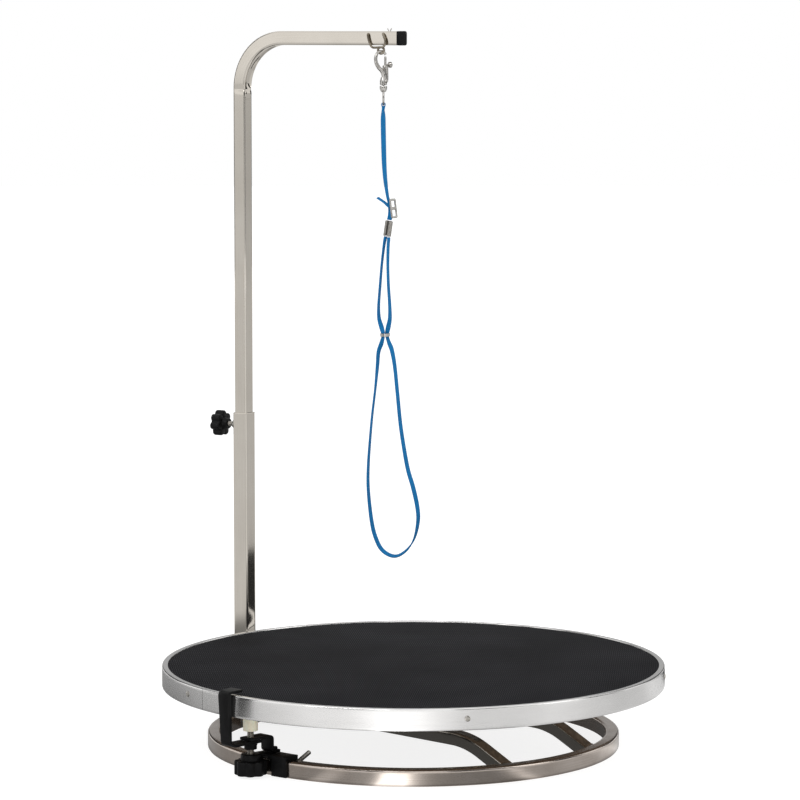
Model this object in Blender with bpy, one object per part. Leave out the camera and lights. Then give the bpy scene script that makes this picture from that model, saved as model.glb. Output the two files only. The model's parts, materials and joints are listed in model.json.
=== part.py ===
"""Round grooming table: a turning top on a ring base, a top lock, a height-adjustable arm and a noose.

Metres, +Z up. The origin is on the floor, on the axis of the turning top.
"""

import math

import bmesh
import bpy
from mathutils import Matrix, Vector

GAP = 0.0003  # left between pieces that touch

# Turning top
TOP_RADIUS = 0.300
TOP_HEIGHT = 0.100
RIM_HEIGHT = 0.025
RIM_WALL = 0.0015
RIM_LIP = 0.0070
RIM_LIP_THICKNESS = 0.0013
MAT_TOP = 0.0989
BOARD_THICKNESS = 0.0186
RIM_SCREW_HEIGHT = 0.0885
RIM_SCREW_START = -6.6  # degrees; five screws share the circle
RIM_SCREWS = 5
SEAM_ANGLE = 216.0
ROUND_STEPS = 60

# Base frame
BASE_RADIUS = 0.246
RING_WIDTH = 0.016
RING_HEIGHT = 0.020
RING_CORNER = 0.003
RING_WALL = 0.002
TUBE_WALL = 0.0012
RAIL_SIZE = 0.016
RAIL_OFFSET = 0.071
RAIL_YAW = -44.0
RAIL_CENTRE_HEIGHT = 0.0372
RAIL_BEND_START = 0.135
RAIL_BEND_ANGLE = 24.2
RAIL_BEND_RADIUS = 0.105
CROSS_OFFSET = 0.090
CROSS_LENGTH = 0.250

# Ball bearing between base and top
BALL_CIRCLE = 0.130
BALL_RADIUS = 0.003
BALLS = 8
RACE_HEIGHT = 0.06905  # ball centres
RACE_PLATE = 0.0024
RACE_FLANGE = 0.00485  # from the ball centres to the flange
RACE_STEPS = 36
UPPER_BOLT_CIRCLE = 0.144

# Arm
POST_X = -0.2115
POST_Y = 0.2335
ARM_YAW = -31.5
SLEEVE_SIZE = 0.020
SLEEVE_TOP = 0.375
ARM_SIZE = 0.017
ARM_CORNER = 0.0022
ARM_BOTTOM = 0.275
ARM_TOP = 0.850
ARM_REACH = 0.2295
ARM_BEND_RADIUS = 0.062
ARM_KNOB_HEIGHT = 0.3595
SOCKET_SIZE = 0.026
SOCKET_BORE = 0.0207
SOCKET_TOP = 0.060
SOCKET_KNOB_HEIGHT = 0.035

# Top lock
LOCK_ANGLE = 225.2
LOCK_RADIUS = 0.2656  # of the lock screw's axis
STRAP_WIDTH = 0.019
STRAP_THICKNESS = 0.003
LOCK_SCREW_RADIUS = 0.004
STUD_ANGLE = 232.6
STUD_TILT = -69.2
SADDLE_INNER = 0.2265
SADDLE_OUTER = 0.2493
SADDLE_TOP = 0.0248
KNOB_SWEEP = 0.0197  # room for the star knob as it turns and rises
KNOB_SWEEP_TOP = 0.0228

# Hanger, snap hook and noose
WIRE_RADIUS = 0.0012
EYE_X = 0.2087  # along the arm, from the post's axis
EYE_Y = -0.0102
EYE_Z = 0.8268
EYE_RADIUS = 0.0038
JAW_YAW = 30.0
SWIVEL_OFFSET = 0.0033
CORD_RADIUS = 0.002

LOOKS = {
    "polished_steel": ((0.52, 0.49, 0.46), 0.18, 1.0),
    "brushed_aluminium": ((0.72, 0.72, 0.72), 0.32, 1.0),
    "chrome": ((0.62, 0.61, 0.59), 0.12, 1.0),
    "black_steel": ((0.012, 0.012, 0.012), 0.45, 0.0),
    "black_plastic": ((0.015, 0.015, 0.016), 0.5, 0.0),
    "black_rubber": ((0.018, 0.018, 0.019), 0.8, 0.0),
    "board_wood": ((0.42, 0.30, 0.18), 0.7, 0.0),
    "white_nylon": ((0.78, 0.74, 0.60), 0.4, 0.0),
    "blue_webbing": ((0.0, 0.16, 0.50), 0.75, 0.0),
}


def clear_scene():
    for obj in list(bpy.data.objects):
        bpy.data.objects.remove(obj)


def look(name):
    """The named material, made the first time that it is asked for."""
    if name in bpy.data.materials:
        return bpy.data.materials[name]
    colour, roughness, metallic = LOOKS[name]
    material = bpy.data.materials.new(name)
    material.use_nodes = True
    shader = material.node_tree.nodes["Principled BSDF"]
    shader.inputs["Base Color"].default_value = (*colour, 1.0)
    shader.inputs["Roughness"].default_value = roughness
    shader.inputs["Metallic"].default_value = metallic
    material.diffuse_color = (*colour, 1.0)
    return material


# Frames


def frame(x=0.0, y=0.0, z=0.0, yaw=0.0, tilt=0.0):
    """A place: turned by tilt about Y, then by yaw about Z, then moved. Angles in degrees."""
    turn = Matrix.Rotation(math.radians(yaw), 4, "Z") @ Matrix.Rotation(math.radians(tilt), 4, "Y")
    return Matrix.Translation((x, y, z)) @ turn


def polar(radius, angle, z=0.0, yaw=None, tilt=0.0):
    """A place at a radius and an angle about the table's axis, facing outward unless yaw is given."""
    turn = math.radians(angle)
    return frame(radius * math.cos(turn), radius * math.sin(turn), z, angle if yaw is None else yaw, tilt)


POST = frame(POST_X, POST_Y, 0.0, ARM_YAW)
POST_RADIUS = math.hypot(POST_X, POST_Y)
POST_ANGLE = math.degrees(math.atan2(POST_Y, POST_X))
LOCK = polar(LOCK_RADIUS, LOCK_ANGLE)
PIVOT = POST @ Vector((EYE_X, EYE_Y, EYE_Z - EYE_RADIUS))
SNAP = frame(*PIVOT, JAW_YAW)
SWIVEL_AXIS = SNAP @ Vector((SWIVEL_OFFSET, 0.0, 0.0))
NOOSE = frame(SWIVEL_AXIS.x, SWIVEL_AXIS.y, 0.0, ARM_YAW)


# Meshes


def skin(rings, closed=False):
    """A body whose surface runs through rings of points. It is capped unless it closes on itself."""
    shape = bmesh.new()
    loops = [[shape.verts.new(point) for point in ring] for ring in rings]
    pairs = list(zip(loops, loops[1:]))
    if closed:
        pairs.append((loops[-1], loops[0]))
    for near, far in pairs:
        for i in range(len(near)):
            k = (i + 1) % len(near)
            shape.faces.new((near[i], near[k], far[k], far[i]))
    if not closed:
        shape.faces.new(loops[0][::-1])
        shape.faces.new(loops[-1])
    return shape


def node(name, shape, finish, place=None, sharp=35.0):
    """An object from a bmesh, with its faces turned outward."""
    bmesh.ops.recalc_face_normals(shape, faces=shape.faces)
    mesh = bpy.data.meshes.new(name)
    shape.to_mesh(mesh)
    shape.free()
    mesh.materials.append(look(finish))
    mesh.shade_smooth()
    mesh.set_sharp_from_angle(angle=math.radians(sharp))
    obj = bpy.data.objects.new(name, mesh)
    bpy.context.scene.collection.objects.link(obj)
    if place is not None:
        obj.matrix_world = place
    return obj


def combine(target, tool, operation, sharp=35.0):
    """Joins the tool to the target, or cuts it away, and removes the tool."""
    modifier = target.modifiers.new("combine", "BOOLEAN")
    modifier.operation = operation
    modifier.object = tool
    bpy.context.view_layer.update()
    graph = bpy.context.evaluated_depsgraph_get()
    mesh = bpy.data.meshes.new_from_object(target.evaluated_get(graph))
    target.modifiers.remove(modifier)
    target.data = mesh
    mesh.name = target.name
    mesh.shade_smooth()
    mesh.set_sharp_from_angle(angle=math.radians(sharp))
    bpy.data.objects.remove(tool)
    return target


def cut(target, shape, place=None):
    return combine(target, node("tool", shape, target.data.materials[0].name, place), "DIFFERENCE")


def join(target, shape, place=None):
    return combine(target, node("tool", shape, target.data.materials[0].name, place), "UNION")


def circle(radius, z, steps, x=0.0, y=0.0):
    turns = [math.tau * k / steps for k in range(steps)]
    return [(x + radius * math.cos(a), y + radius * math.sin(a), z) for a in turns]


def turned(profile, steps, x=0.0, y=0.0):
    """A solid turned about Z from (radius, height) points, flat at both ends."""
    return skin([circle(radius, z, steps, x, y) for radius, z in profile])


def rod(radius, low, high, steps=16, x=0.0, y=0.0, chamfer=0.0):
    if not chamfer:
        return turned([(radius, low), (radius, high)], steps, x, y)
    ends = radius - chamfer
    profile = [(ends, low), (radius, low + chamfer), (radius, high - chamfer), (ends, high)]
    return turned(profile, steps, x, y)


def hoop(profile, steps=ROUND_STEPS):
    """A ring turned about Z from a closed outline of (radius, height) points that stays off the axis."""
    rings = []
    for k in range(steps):
        a = math.tau * k / steps
        rings.append([(r * math.cos(a), r * math.sin(a), z) for r, z in profile])
    return skin(rings, closed=True)


def arc_bar(profile, start, end, steps=8):
    """Part of such a ring, between two angles in degrees, with flat ends."""
    rings = []
    for k in range(steps + 1):
        a = math.radians(start + (end - start) * k / steps)
        rings.append([(r * math.cos(a), r * math.sin(a), z) for r, z in profile])
    return skin(rings)


def box(x0, x1, y0, y1, z0, z1):
    outline = [(x0, y0), (x1, y0), (x1, y1), (x0, y1)]
    return prism(outline, z0, z1)


def prism(outline, z0, z1):
    return skin([[(x, y, z) for x, y in outline] for z in (z0, z1)])


def rounded(width, depth, radius, steps=2):
    """The outline of a rectangle with round corners, about its centre."""
    points = []
    for quarter, (side_x, side_y) in enumerate(((1, 1), (-1, 1), (-1, -1), (1, -1))):
        for k in range(steps + 1):
            a = math.radians(90.0 * (quarter + k / steps))
            x = side_x * (width / 2 - radius) + radius * math.cos(a)
            y = side_y * (depth / 2 - radius) + radius * math.sin(a)
            points.append((x, y))
    return points


def lobed(radius, depth, lobes, steps_each=5):
    """A star knob's outline: round lobes with hollows of this depth between them."""
    points = []
    for k in range(lobes * steps_each):
        a = math.tau * k / (lobes * steps_each)
        reach = radius - depth * (0.5 - 0.5 * math.cos(lobes * a))
        points.append((reach * math.cos(a), reach * math.sin(a)))
    return points


def fillet(corners, radius, steps=6):
    """A path in a plane with each inner corner rounded to a radius."""
    path = [corners[0]]
    for before, corner, after in zip(corners, corners[1:], corners[2:]):
        here = Vector(corner)
        back = (Vector(before) - here).normalized()
        ahead = (Vector(after) - here).normalized()
        half = back.angle(ahead) / 2
        centre = here + (back + ahead).normalized() * (radius / math.sin(half))
        start = here + back * (radius / math.tan(half)) - centre
        sweep = math.pi - 2 * half
        if back.x * ahead.y - back.y * ahead.x > 0:
            sweep = -sweep
        for k in range(steps + 1):
            a = sweep * k / steps
            turned_x = start.x * math.cos(a) - start.y * math.sin(a)
            turned_y = start.x * math.sin(a) + start.y * math.cos(a)
            path.append((centre.x + turned_x, centre.y + turned_y))
    path.append(corners[-1])
    return path


def along(path, section):
    """Rings of a section carried along a path in the X-Z plane: across the path, then along Y."""
    rings = []
    for i, point in enumerate(path):
        here = Vector(point)
        before = here - Vector(path[i - 1]) if i else Vector(path[1]) - here
        after = Vector(path[i + 1]) - here if i < len(path) - 1 else before
        before.normalize()
        after.normalize()
        way = (before + after).normalized()
        stretch = 1.0 / max(way.dot(after), 0.2)
        side = Vector((-way.y, way.x)) * stretch
        rings.append([(here.x + side.x * a, b, here.y + side.y * a) for a, b in section])
    return rings


def square_tube(path, size, wall, corner):
    """An open-ended square tube along a path in the X-Z plane."""
    outer = along(path, rounded(size, size, corner))
    inner = along(path, rounded(size - 2 * wall, size - 2 * wall, corner - wall / 2))
    return skin(outer + inner[::-1], closed=True)


def bent_strip(corners, bend, thickness, width, steps=4):
    """Flat bar bent along a path in the X-Z plane, centred on Y = 0."""
    a = thickness / 2
    b = width / 2
    return skin(along(fillet(corners, bend, steps), [(-a, -b), (a, -b), (a, b), (-a, b)]))


def smooth_curve(route, steps):
    """Points on one smooth curve through a route, so many between each pair of its points."""
    knots = [Vector(point) for point in route]
    knots = [2 * knots[0] - knots[1], *knots, 2 * knots[-1] - knots[-2]]
    points = []
    for a, b, c, d in zip(knots, knots[1:], knots[2:], knots[3:]):
        for k in range(steps):
            t = k / steps
            bend = (2 * a - 5 * b + 4 * c - d) * t * t + (3 * b - a - 3 * c + d) * t * t * t
            points.append(b + 0.5 * ((c - a) * t + bend))
    points.append(knots[-2])
    return points


def even_points(points, spacing):
    """The same line with its points a fixed distance apart."""
    total = sum((b - a).length for a, b in zip(points, points[1:]))
    count = max(2, round(total / spacing))
    step = total / count
    kept = [points[0]]
    travelled = 0.0
    for a, b in zip(points, points[1:]):
        length = (b - a).length
        while len(kept) < count and travelled + length >= step * len(kept):
            kept.append(a.lerp(b, (step * len(kept) - travelled) / length))
        travelled += length
    kept.append(points[-1])
    return kept


def wire_rings(points, radii, sides, closed=False):
    """Rings round a path in space, carried along it without twist."""
    count = len(points)
    ways = []
    for i in range(count):
        if closed:
            ways.append((points[(i + 1) % count] - points[i - 1]).normalized())
        else:
            ways.append((points[min(i + 1, count - 1)] - points[max(i - 1, 0)]).normalized())
    side = ways[0].orthogonal().normalized()
    rings = []
    for i, way in enumerate(ways):
        if i:
            side = ways[i - 1].rotation_difference(way) @ side
        side = (side - way * side.dot(way)).normalized()
        other = way.cross(side)
        ring = []
        for k in range(sides):
            a = math.tau * k / sides
            ring.append(points[i] + (side * math.cos(a) + other * math.sin(a)) * radii[i])
        rings.append(ring)
    return rings


def wire(points, radius, sides=8, closed=False):
    return skin(wire_rings(points, [radius] * len(points), sides, closed), closed)


# Base frame


def base_ring():
    """A square tube bent into a ring, with two weld vents in its inner face."""
    centre = BASE_RADIUS - RING_WIDTH / 2
    outer = [(centre + x, RING_HEIGHT / 2 + z) for x, z in rounded(RING_WIDTH, RING_HEIGHT, RING_CORNER, 1)]
    half = RING_WIDTH / 2 - RING_WALL
    low = RING_WALL
    high = RING_HEIGHT - RING_WALL
    inner = [(centre - half, low), (centre + half, low), (centre + half, high), (centre - half, high)]
    ring = cut(node("base_ring", hoop(outer), "polished_steel"), hoop(inner))
    for angle in (RAIL_YAW + 90.0, RAIL_YAW - 90.0):
        vent = rod(0.003, -0.006, 0.006, 10)
        cut(ring, vent, polar(BASE_RADIUS - RING_WIDTH, angle, RING_HEIGHT / 2, tilt=90.0))


def rail_path(reach):
    """Half of a rail: level under the top, then bent down to the ring."""
    slope = math.radians(RAIL_BEND_ANGLE)
    path = [(0.0, RAIL_CENTRE_HEIGHT)]
    for k in range(4):
        a = slope * k / 3
        x = RAIL_BEND_START + RAIL_BEND_RADIUS * math.sin(a)
        path.append((x, RAIL_CENTRE_HEIGHT - RAIL_BEND_RADIUS * (1 - math.cos(a))))
    x, z = path[-1]
    path.append((reach, z - (reach - x) * math.tan(slope)))
    return path


def rails():
    """Two bowed square tubes across the ring, welded inside it."""
    half = rail_path(0.236)
    path = [(-x, z) for x, z in half[:0:-1]] + half
    for name, offset in (("rail_left", -RAIL_OFFSET), ("rail_right", RAIL_OFFSET)):
        place = frame(yaw=RAIL_YAW) @ Matrix.Translation((0.0, offset, 0.0))
        rail = node(name, square_tube(path, RAIL_SIZE, TUBE_WALL, 0.002), "polished_steel", place)
        bore = rod(BASE_RADIUS - RING_WIDTH - GAP, -0.05, 0.08, ROUND_STEPS)
        combine(rail, node("tool", bore, "polished_steel"), "INTERSECT")


def cross_tubes():
    """Two straight tubes over the rails that carry the bearing, with two bolt holes each."""
    centre = RAIL_CENTRE_HEIGHT + RAIL_SIZE + GAP
    path = [(-CROSS_LENGTH / 2, centre), (CROSS_LENGTH / 2, centre)]
    for name, offset in (("cross_tube_front", CROSS_OFFSET), ("cross_tube_back", -CROSS_OFFSET)):
        place = frame(yaw=RAIL_YAW) @ Matrix.Translation((offset, 0.0, 0.0)) @ frame(yaw=90.0)
        tube = node(name, square_tube(path, RAIL_SIZE, TUBE_WALL, 0.002), "polished_steel", place)
        for x in (-LOWER_BOLT_OFFSET, LOWER_BOLT_OFFSET):
            cut(tube, rod(0.0022, centre, centre + RAIL_SIZE, 8, x), place)


def race(flange_inside, flange, side):
    """Half of the bearing: a track grooved for the balls, and a flange beside it to bolt it down by.

    side is 1 for the upper half and -1 for the lower one.
    """
    groove = 0.00365
    track = 0.00185
    plate = RACE_FLANGE
    back = plate + RACE_PLATE
    outline = [
        (BALL_CIRCLE + 0.0080, track),
        (BALL_CIRCLE + 0.0038, track),
        (BALL_CIRCLE, groove),
        (BALL_CIRCLE - 0.0038, track),
        (BALL_CIRCLE - 0.0080, track),
    ]
    if flange_inside:
        outline += [(BALL_CIRCLE - 0.0080, plate), (flange, plate), (flange, back), (BALL_CIRCLE + 0.0080, back)]
    else:
        outline += [(BALL_CIRCLE - 0.0080, back), (flange, back), (flange, plate), (BALL_CIRCLE + 0.0080, plate)]
    return hoop([(r, RACE_HEIGHT + side * z) for r, z in outline], RACE_STEPS)


LOWER_BOLT_OFFSET = 0.0683
BEARING_TOP = RACE_HEIGHT + RACE_FLANGE + RACE_PLATE
BOARD_BOTTOM = BEARING_TOP + GAP


def lower_bolt_places():
    for x in (CROSS_OFFSET, -CROSS_OFFSET):
        for y in (-LOWER_BOLT_OFFSET, LOWER_BOLT_OFFSET):
            yield frame(yaw=RAIL_YAW) @ Matrix.Translation((x, y, 0.0))


def upper_bolt_places():
    for k in range(4):
        yield polar(UPPER_BOLT_CIRCLE, RAIL_YAW + 90.0 * k)


def bearing():
    """A flat ball bearing: two races, and the balls held in a cage between them."""
    lower = node("bearing_lower", race(True, 0.105, -1), "polished_steel")
    upper = node("bearing_upper", race(False, 0.150, 1), "polished_steel")
    plate = RACE_HEIGHT - RACE_FLANGE
    for name, place in zip("abcd", lower_bolt_places()):
        cut(lower, rod(0.0022, plate - 0.004, plate + 0.002, 8), place)
        head = [(0.0018, plate - 0.010), (0.0018, plate + GAP), (0.0032, plate + GAP), (0.0026, plate + 0.0022)]
        node("bearing_bolt_" + name, turned(head, 8), "chrome", place)
    plate = RACE_HEIGHT + RACE_FLANGE
    for name, place in zip("abcd", upper_bolt_places()):
        cut(upper, rod(0.0022, plate - 0.002, plate + 0.004, 8), place)
        head = [(0.0026, plate - 0.0022), (0.0032, plate - GAP), (0.0018, plate - GAP), (0.0018, plate + 0.011)]
        node("top_bolt_" + name, turned(head, 8), "chrome", place)
    half = 0.0007
    flat = [(0.1225, -half), (0.1375, -half), (0.1375, half), (0.1225, half)]
    cage = node("ball_cage", hoop([(r, RACE_HEIGHT + z) for r, z in flat], RACE_STEPS), "chrome")
    for k in range(BALLS):
        ball = bmesh.new()
        bmesh.ops.create_uvsphere(ball, u_segments=6, v_segments=4, radius=BALL_RADIUS)
        join(cage, ball, polar(BALL_CIRCLE, 360.0 * k / BALLS + 3.0, RACE_HEIGHT))


# Turning top


def screw_places():
    for k in range(RIM_SCREWS):
        yield polar(TOP_RADIUS, RIM_SCREW_START + 360.0 / RIM_SCREWS * k, RIM_SCREW_HEIGHT, tilt=90.0)


def table_board():
    edge = TOP_RADIUS - RIM_WALL - 0.0005
    top = BOARD_BOTTOM + BOARD_THICKNESS
    board = node("table_board", turned([(edge, BOARD_BOTTOM), (edge, top)], ROUND_STEPS), "board_wood")
    for place in screw_places():
        cut(board, rod(0.0020, -0.018, 0.002, 10), place)
    for place in upper_bolt_places():
        cut(board, rod(0.0022, BOARD_BOTTOM - 0.002, BOARD_BOTTOM + 0.012, 8), place)


def rubber_mat():
    edge = TOP_RADIUS - RIM_WALL - 0.0005
    low = BOARD_BOTTOM + BOARD_THICKNESS + GAP
    pinched = TOP_HEIGHT - RIM_LIP_THICKNESS - GAP
    clear = TOP_RADIUS - RIM_LIP - 0.0004
    profile = [(edge, low), (edge, pinched), (clear, pinched), (clear - 0.0004, MAT_TOP)]
    node("rubber_mat", turned(profile, ROUND_STEPS), "black_rubber")


def rim_trim():
    """The aluminium edging: a band with a lip over the mat and one under the board, open at its seam."""
    wall = TOP_RADIUS - RIM_WALL
    low = TOP_HEIGHT - RIM_HEIGHT
    profile = [
        (wall - 0.0045, low),
        (TOP_RADIUS, low),
        (TOP_RADIUS, TOP_HEIGHT - 0.0010),
        (TOP_RADIUS - 0.0010, TOP_HEIGHT),
        (TOP_RADIUS - RIM_LIP, TOP_HEIGHT),
        (TOP_RADIUS - RIM_LIP, TOP_HEIGHT - RIM_LIP_THICKNESS),
        (wall, TOP_HEIGHT - RIM_LIP_THICKNESS),
        (wall, low + 0.0013),
        (wall - 0.0045, low + 0.0013),
    ]
    trim = node("rim_trim", hoop(profile), "brushed_aluminium")
    seam = box(TOP_RADIUS - 0.02, TOP_RADIUS + 0.01, -0.00025, 0.00025, low - 0.01, TOP_HEIGHT + 0.01)
    cut(trim, seam, frame(yaw=SEAM_ANGLE))
    for place in screw_places():
        cut(trim, rod(0.0022, -0.0035, 0.002, 10), place)


def rim_screws():
    """Pan-head screws round the edging, each with a cross recess."""
    head = [(0.0016, -0.015), (0.0016, GAP), (0.0033, GAP), (0.0031, 0.0009), (0.0021, 0.0013)]
    for k, place in enumerate(screw_places(), 1):
        screw = node(f"rim_screw_{k}", turned(head, 12), "chrome", place)
        for yaw in (20.0, 110.0):
            cut(screw, box(-0.0016, 0.0016, -0.0003, 0.0003, 0.0005, 0.002), place @ frame(yaw=yaw))


# Top lock


def saddle_profile():
    """An upside-down channel that sits over the base ring."""
    inner_face = BASE_RADIUS - RING_WIDTH - 0.0007
    outer_face = BASE_RADIUS + GAP
    under = RING_HEIGHT + GAP
    low = 0.0012
    return [
        (SADDLE_INNER, low),
        (inner_face, low),
        (inner_face, under),
        (outer_face, under),
        (outer_face, low),
        (SADDLE_OUTER, low),
        (SADDLE_OUTER, SADDLE_TOP),
        (SADDLE_INNER, SADDLE_TOP),
    ]


def lock_brackets():
    """The hook over the rim, the plate that joins it to the ring, and the saddle clamped on the ring."""
    hook_path = [(0.0212, 0.1042), (0.0400, 0.1030), (0.0356, 0.0415), (-0.0095, 0.0415)]
    hook = node("lock_hook", bent_strip(hook_path, 0.0045, STRAP_THICKNESS, STRAP_WIDTH), "black_steel", LOCK)
    cut(hook, rod(0.0043, 0.030, 0.050, 16), LOCK)
    plate_path = [(0.0080, 0.0450), (-0.0266, 0.0450), (-0.0266, 0.0268), (-0.0382, 0.0268)]
    plate = node("lock_plate", bent_strip(plate_path, 0.0035, STRAP_THICKNESS, STRAP_WIDTH), "black_steel", LOCK)
    cut(plate, rod(0.0043, 0.040, 0.050, 16), LOCK)
    bolt = LOCK @ Matrix.Translation((-0.0333, 0.0045, 0.0))
    cut(plate, rod(0.0023, 0.020, 0.032, 12), bolt)
    saddle = node("lock_saddle", arc_bar(saddle_profile(), LOCK_ANGLE - 2.9, LOCK_ANGLE + 8.8), "black_steel")
    cut(saddle, box(-0.0210, -0.010, -0.030, 0.0165, -0.01, RING_HEIGHT + GAP), LOCK)
    cut(saddle, rod(KNOB_SWEEP, -0.01, KNOB_SWEEP_TOP, 24), LOCK)
    cut(saddle, rod(0.0023, 0.018, 0.030, 12), bolt)
    stud = stud_place()
    join(saddle, rod(0.0048, -0.0015, 0.0050, 16), stud)
    cut(saddle, rod(0.0031, -0.006, 0.010, 16), stud)
    head = [(0.0020, 0.0208), (0.0020, 0.0286), (0.0037, 0.0286), (0.0037, 0.0306), (0.0030, 0.0316)]
    node("lock_plate_bolt", turned(head, 12), "black_steel", bolt)


def stud_place():
    """On the saddle's inner jaw, pointing inward and up."""
    return polar(SADDLE_INNER, STUD_ANGLE, 0.012, tilt=STUD_TILT)


def clamp_stud():
    node("clamp_pad", rod(0.0018, -0.0026, -0.0017, 12), "chrome", stud_place())
    node("clamp_stud", rod(0.0027, -0.0014, 0.0300, 14, chamfer=0.0005), "chrome", stud_place())


def lock_screw():
    """The screw that presses a nylon tip against the top's underside, its weld nut and its star knob."""
    nut = [(0.0072, 0.0326), (0.0075, 0.0332), (0.0075, 0.0372), (0.0082, 0.0378), (0.0082, 0.0397)]
    cut(node("lock_nut", turned(nut, 12), "black_steel", LOCK), rod(0.0043, 0.02, 0.05, 16), LOCK)
    thread = rod(LOCK_SCREW_RADIUS, 0.0110, 0.0640, 16, chamfer=0.0006)
    node("lock_screw", thread, "chrome", LOCK)
    tip = [(0.0080, 0.0540), (0.0085, 0.0546), (0.0085, 0.0728), (0.0072, 0.0740)]
    cut(node("lock_tip", turned(tip, 24), "white_nylon", LOCK), rod(0.0043, 0.050, 0.0645, 16), LOCK)
    outline = lobed(0.0188, 0.0024, 8)
    hub = circle(0.0118, 0.0, len(outline))
    rings = []
    for height, scale in ((0.0029, 0.94), (0.0042, 1.0), (0.0184, 1.0), (0.0198, 0.95)):
        rings.append([(x * scale, y * scale, height) for x, y in outline])
    for height, scale in ((0.0200, 1.03), (0.0262, 1.0), (0.0273, 0.92)):
        rings.append([(x * scale, y * scale, height) for x, y, _ in hub])
    knob = node("lock_knob", skin(rings), "black_plastic", LOCK)
    cut(knob, rod(0.0043, 0.0107, 0.03, 16), LOCK)


# Arm


def star_knob(name, place, start, bore):
    """A seven-lobed knob on a hub cone, along the place's +Z from a starting height."""
    outline = lobed(0.0162, 0.0030, 7)
    hub = circle(0.0066, 0.0, len(outline))
    rings = [[(x * scale, y * scale, start + height) for x, y, _ in hub] for height, scale in ((0.0, 1.0), (0.005, 1.15))]
    for height, scale in ((0.0062, 0.88), (0.0075, 1.0), (0.0170, 1.0), (0.0190, 0.9)):
        rings.append([(x * scale, y * scale, start + height) for x, y in outline])
    knob = node(name, skin(rings), "black_plastic", place)
    if bore:
        cut(knob, rod(0.0033, start - 0.002, start + 0.0138, 14), place)
    return knob


def side_place(height):
    """On the post's axis at a height, with +Z pointing away from the arm."""
    return POST @ frame(0.0, 0.0, height, 0.0, -90.0)


def arm_bracket():
    """The bracket that holds the post: a saddle on the ring, a bar under the rim and a square socket."""
    saddle = arc_bar(saddle_profile(), POST_ANGLE - 5.6, POST_ANGLE + 5.6)
    bracket = node("arm_bracket", saddle, "black_steel")
    outward = frame(yaw=POST_ANGLE)
    join(bracket, box(0.2320, POST_RADIUS - 0.004, -0.0130, 0.0130, 0.0215, 0.0280), outward)
    socket = rounded(SOCKET_SIZE, SOCKET_SIZE, 0.003)
    join(bracket, prism(socket, 0.0015, SOCKET_TOP), POST)
    side = side_place(SOCKET_KNOB_HEIGHT)
    join(bracket, rod(0.0065, 0.011, 0.0178, 16), side)
    cut(bracket, prism(rounded(SOCKET_BORE, SOCKET_BORE, 0.0024), 0.0045, SOCKET_TOP + 0.01), POST)
    cut(bracket, rod(0.0033, 0.006, 0.022, 14), side)
    head = [(0.0022, 0.0003), (0.0022, 0.0033), (0.0045, 0.0033), (0.0045, 0.0061), (0.0038, 0.0068)]
    for name, angle in (("bracket_bolt_left", POST_ANGLE + 4.2), ("bracket_bolt_right", POST_ANGLE - 4.2)):
        place = polar(BASE_RADIUS + GAP, angle, RING_HEIGHT / 2, tilt=90.0)
        cut(bracket, rod(0.0026, -0.002, 0.006, 12), place)
        node(name, turned(head, 12), "chrome", place)


def socket_knob():
    """The knob whose screw grips the post in its socket, and the pad at its tip."""
    place = side_place(SOCKET_KNOB_HEIGHT)
    node("socket_pad", rod(0.0028, 0.0103, 0.0116, 12), "chrome", place)
    join(star_knob("socket_knob", place, 0.0200, bore=False), rod(0.0030, 0.0119, 0.0240, 14), place)


def post_sleeve():
    tube = square_tube([(0.0, 0.0050), (0.0, SLEEVE_TOP)], SLEEVE_SIZE, TUBE_WALL, 0.0024)
    sleeve = node("post_sleeve", tube, "polished_steel", POST)
    side = side_place(ARM_KNOB_HEIGHT)
    cut(sleeve, rod(0.0033, 0.006, 0.012, 14), side)
    nut = [(0.0056, 0.0103), (0.0056, 0.0145), (0.0050, 0.0153)]
    cut(node("sleeve_nut", turned(nut, 18), "chrome", side), rod(0.0033, 0.006, 0.020, 14), side)


def arm_knob():
    """The knob that holds the arm's height: pad, screw and star knob."""
    place = side_place(ARM_KNOB_HEIGHT)
    node("arm_pad", rod(0.0028, 0.0088, 0.0100, 12), "chrome", place)
    node("arm_screw", rod(0.0030, 0.0103, 0.0360, 14, chamfer=0.0004), "chrome", place)
    star_knob("arm_knob", place, 0.0227, bore=True)


def upper_arm():
    """The square tube that slides in the sleeve and bends over the table."""
    height = ARM_TOP - ARM_SIZE / 2
    corners = [(0.0, ARM_BOTTOM), (0.0, height), (ARM_REACH, height)]
    path = fillet(corners, ARM_BEND_RADIUS, 10)
    arm = node("upper_arm", square_tube(path, ARM_SIZE, TUBE_WALL, ARM_CORNER), "polished_steel", POST)
    for x, _, z in (HANGER_ROUTE[0], HANGER_END[-1]):
        cut(arm, rod(WIRE_RADIUS + 0.0005, 0.005, 0.011, 12), POST @ frame(x, 0.0, z, 90.0, -90.0))
    cut(arm, rod(0.0019, ARM_TOP - 0.003, ARM_TOP + 0.002, 12, PIN_X), POST)


def end_cap():
    """The rubber plug in the arm's end."""
    stem = rounded(0.0140, 0.0140, 0.0015)
    head = rounded(0.0174, 0.0176, 0.0024)
    rings = []
    for x, outline, scale in (
        (ARM_REACH - 0.006, stem, 0.96),
        (ARM_REACH + GAP, stem, 1.0),
        (ARM_REACH + GAP, head, 0.98),
        (ARM_REACH + 0.0038, head, 1.0),
        (ARM_REACH + 0.0046, head, 0.95),
    ):
        rings.append([(x, y * scale, ARM_TOP - ARM_SIZE / 2 + z * scale) for z, y in outline])
    node("end_cap", skin(rings), "black_rubber", POST)


PIN_X = 0.2145


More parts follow.
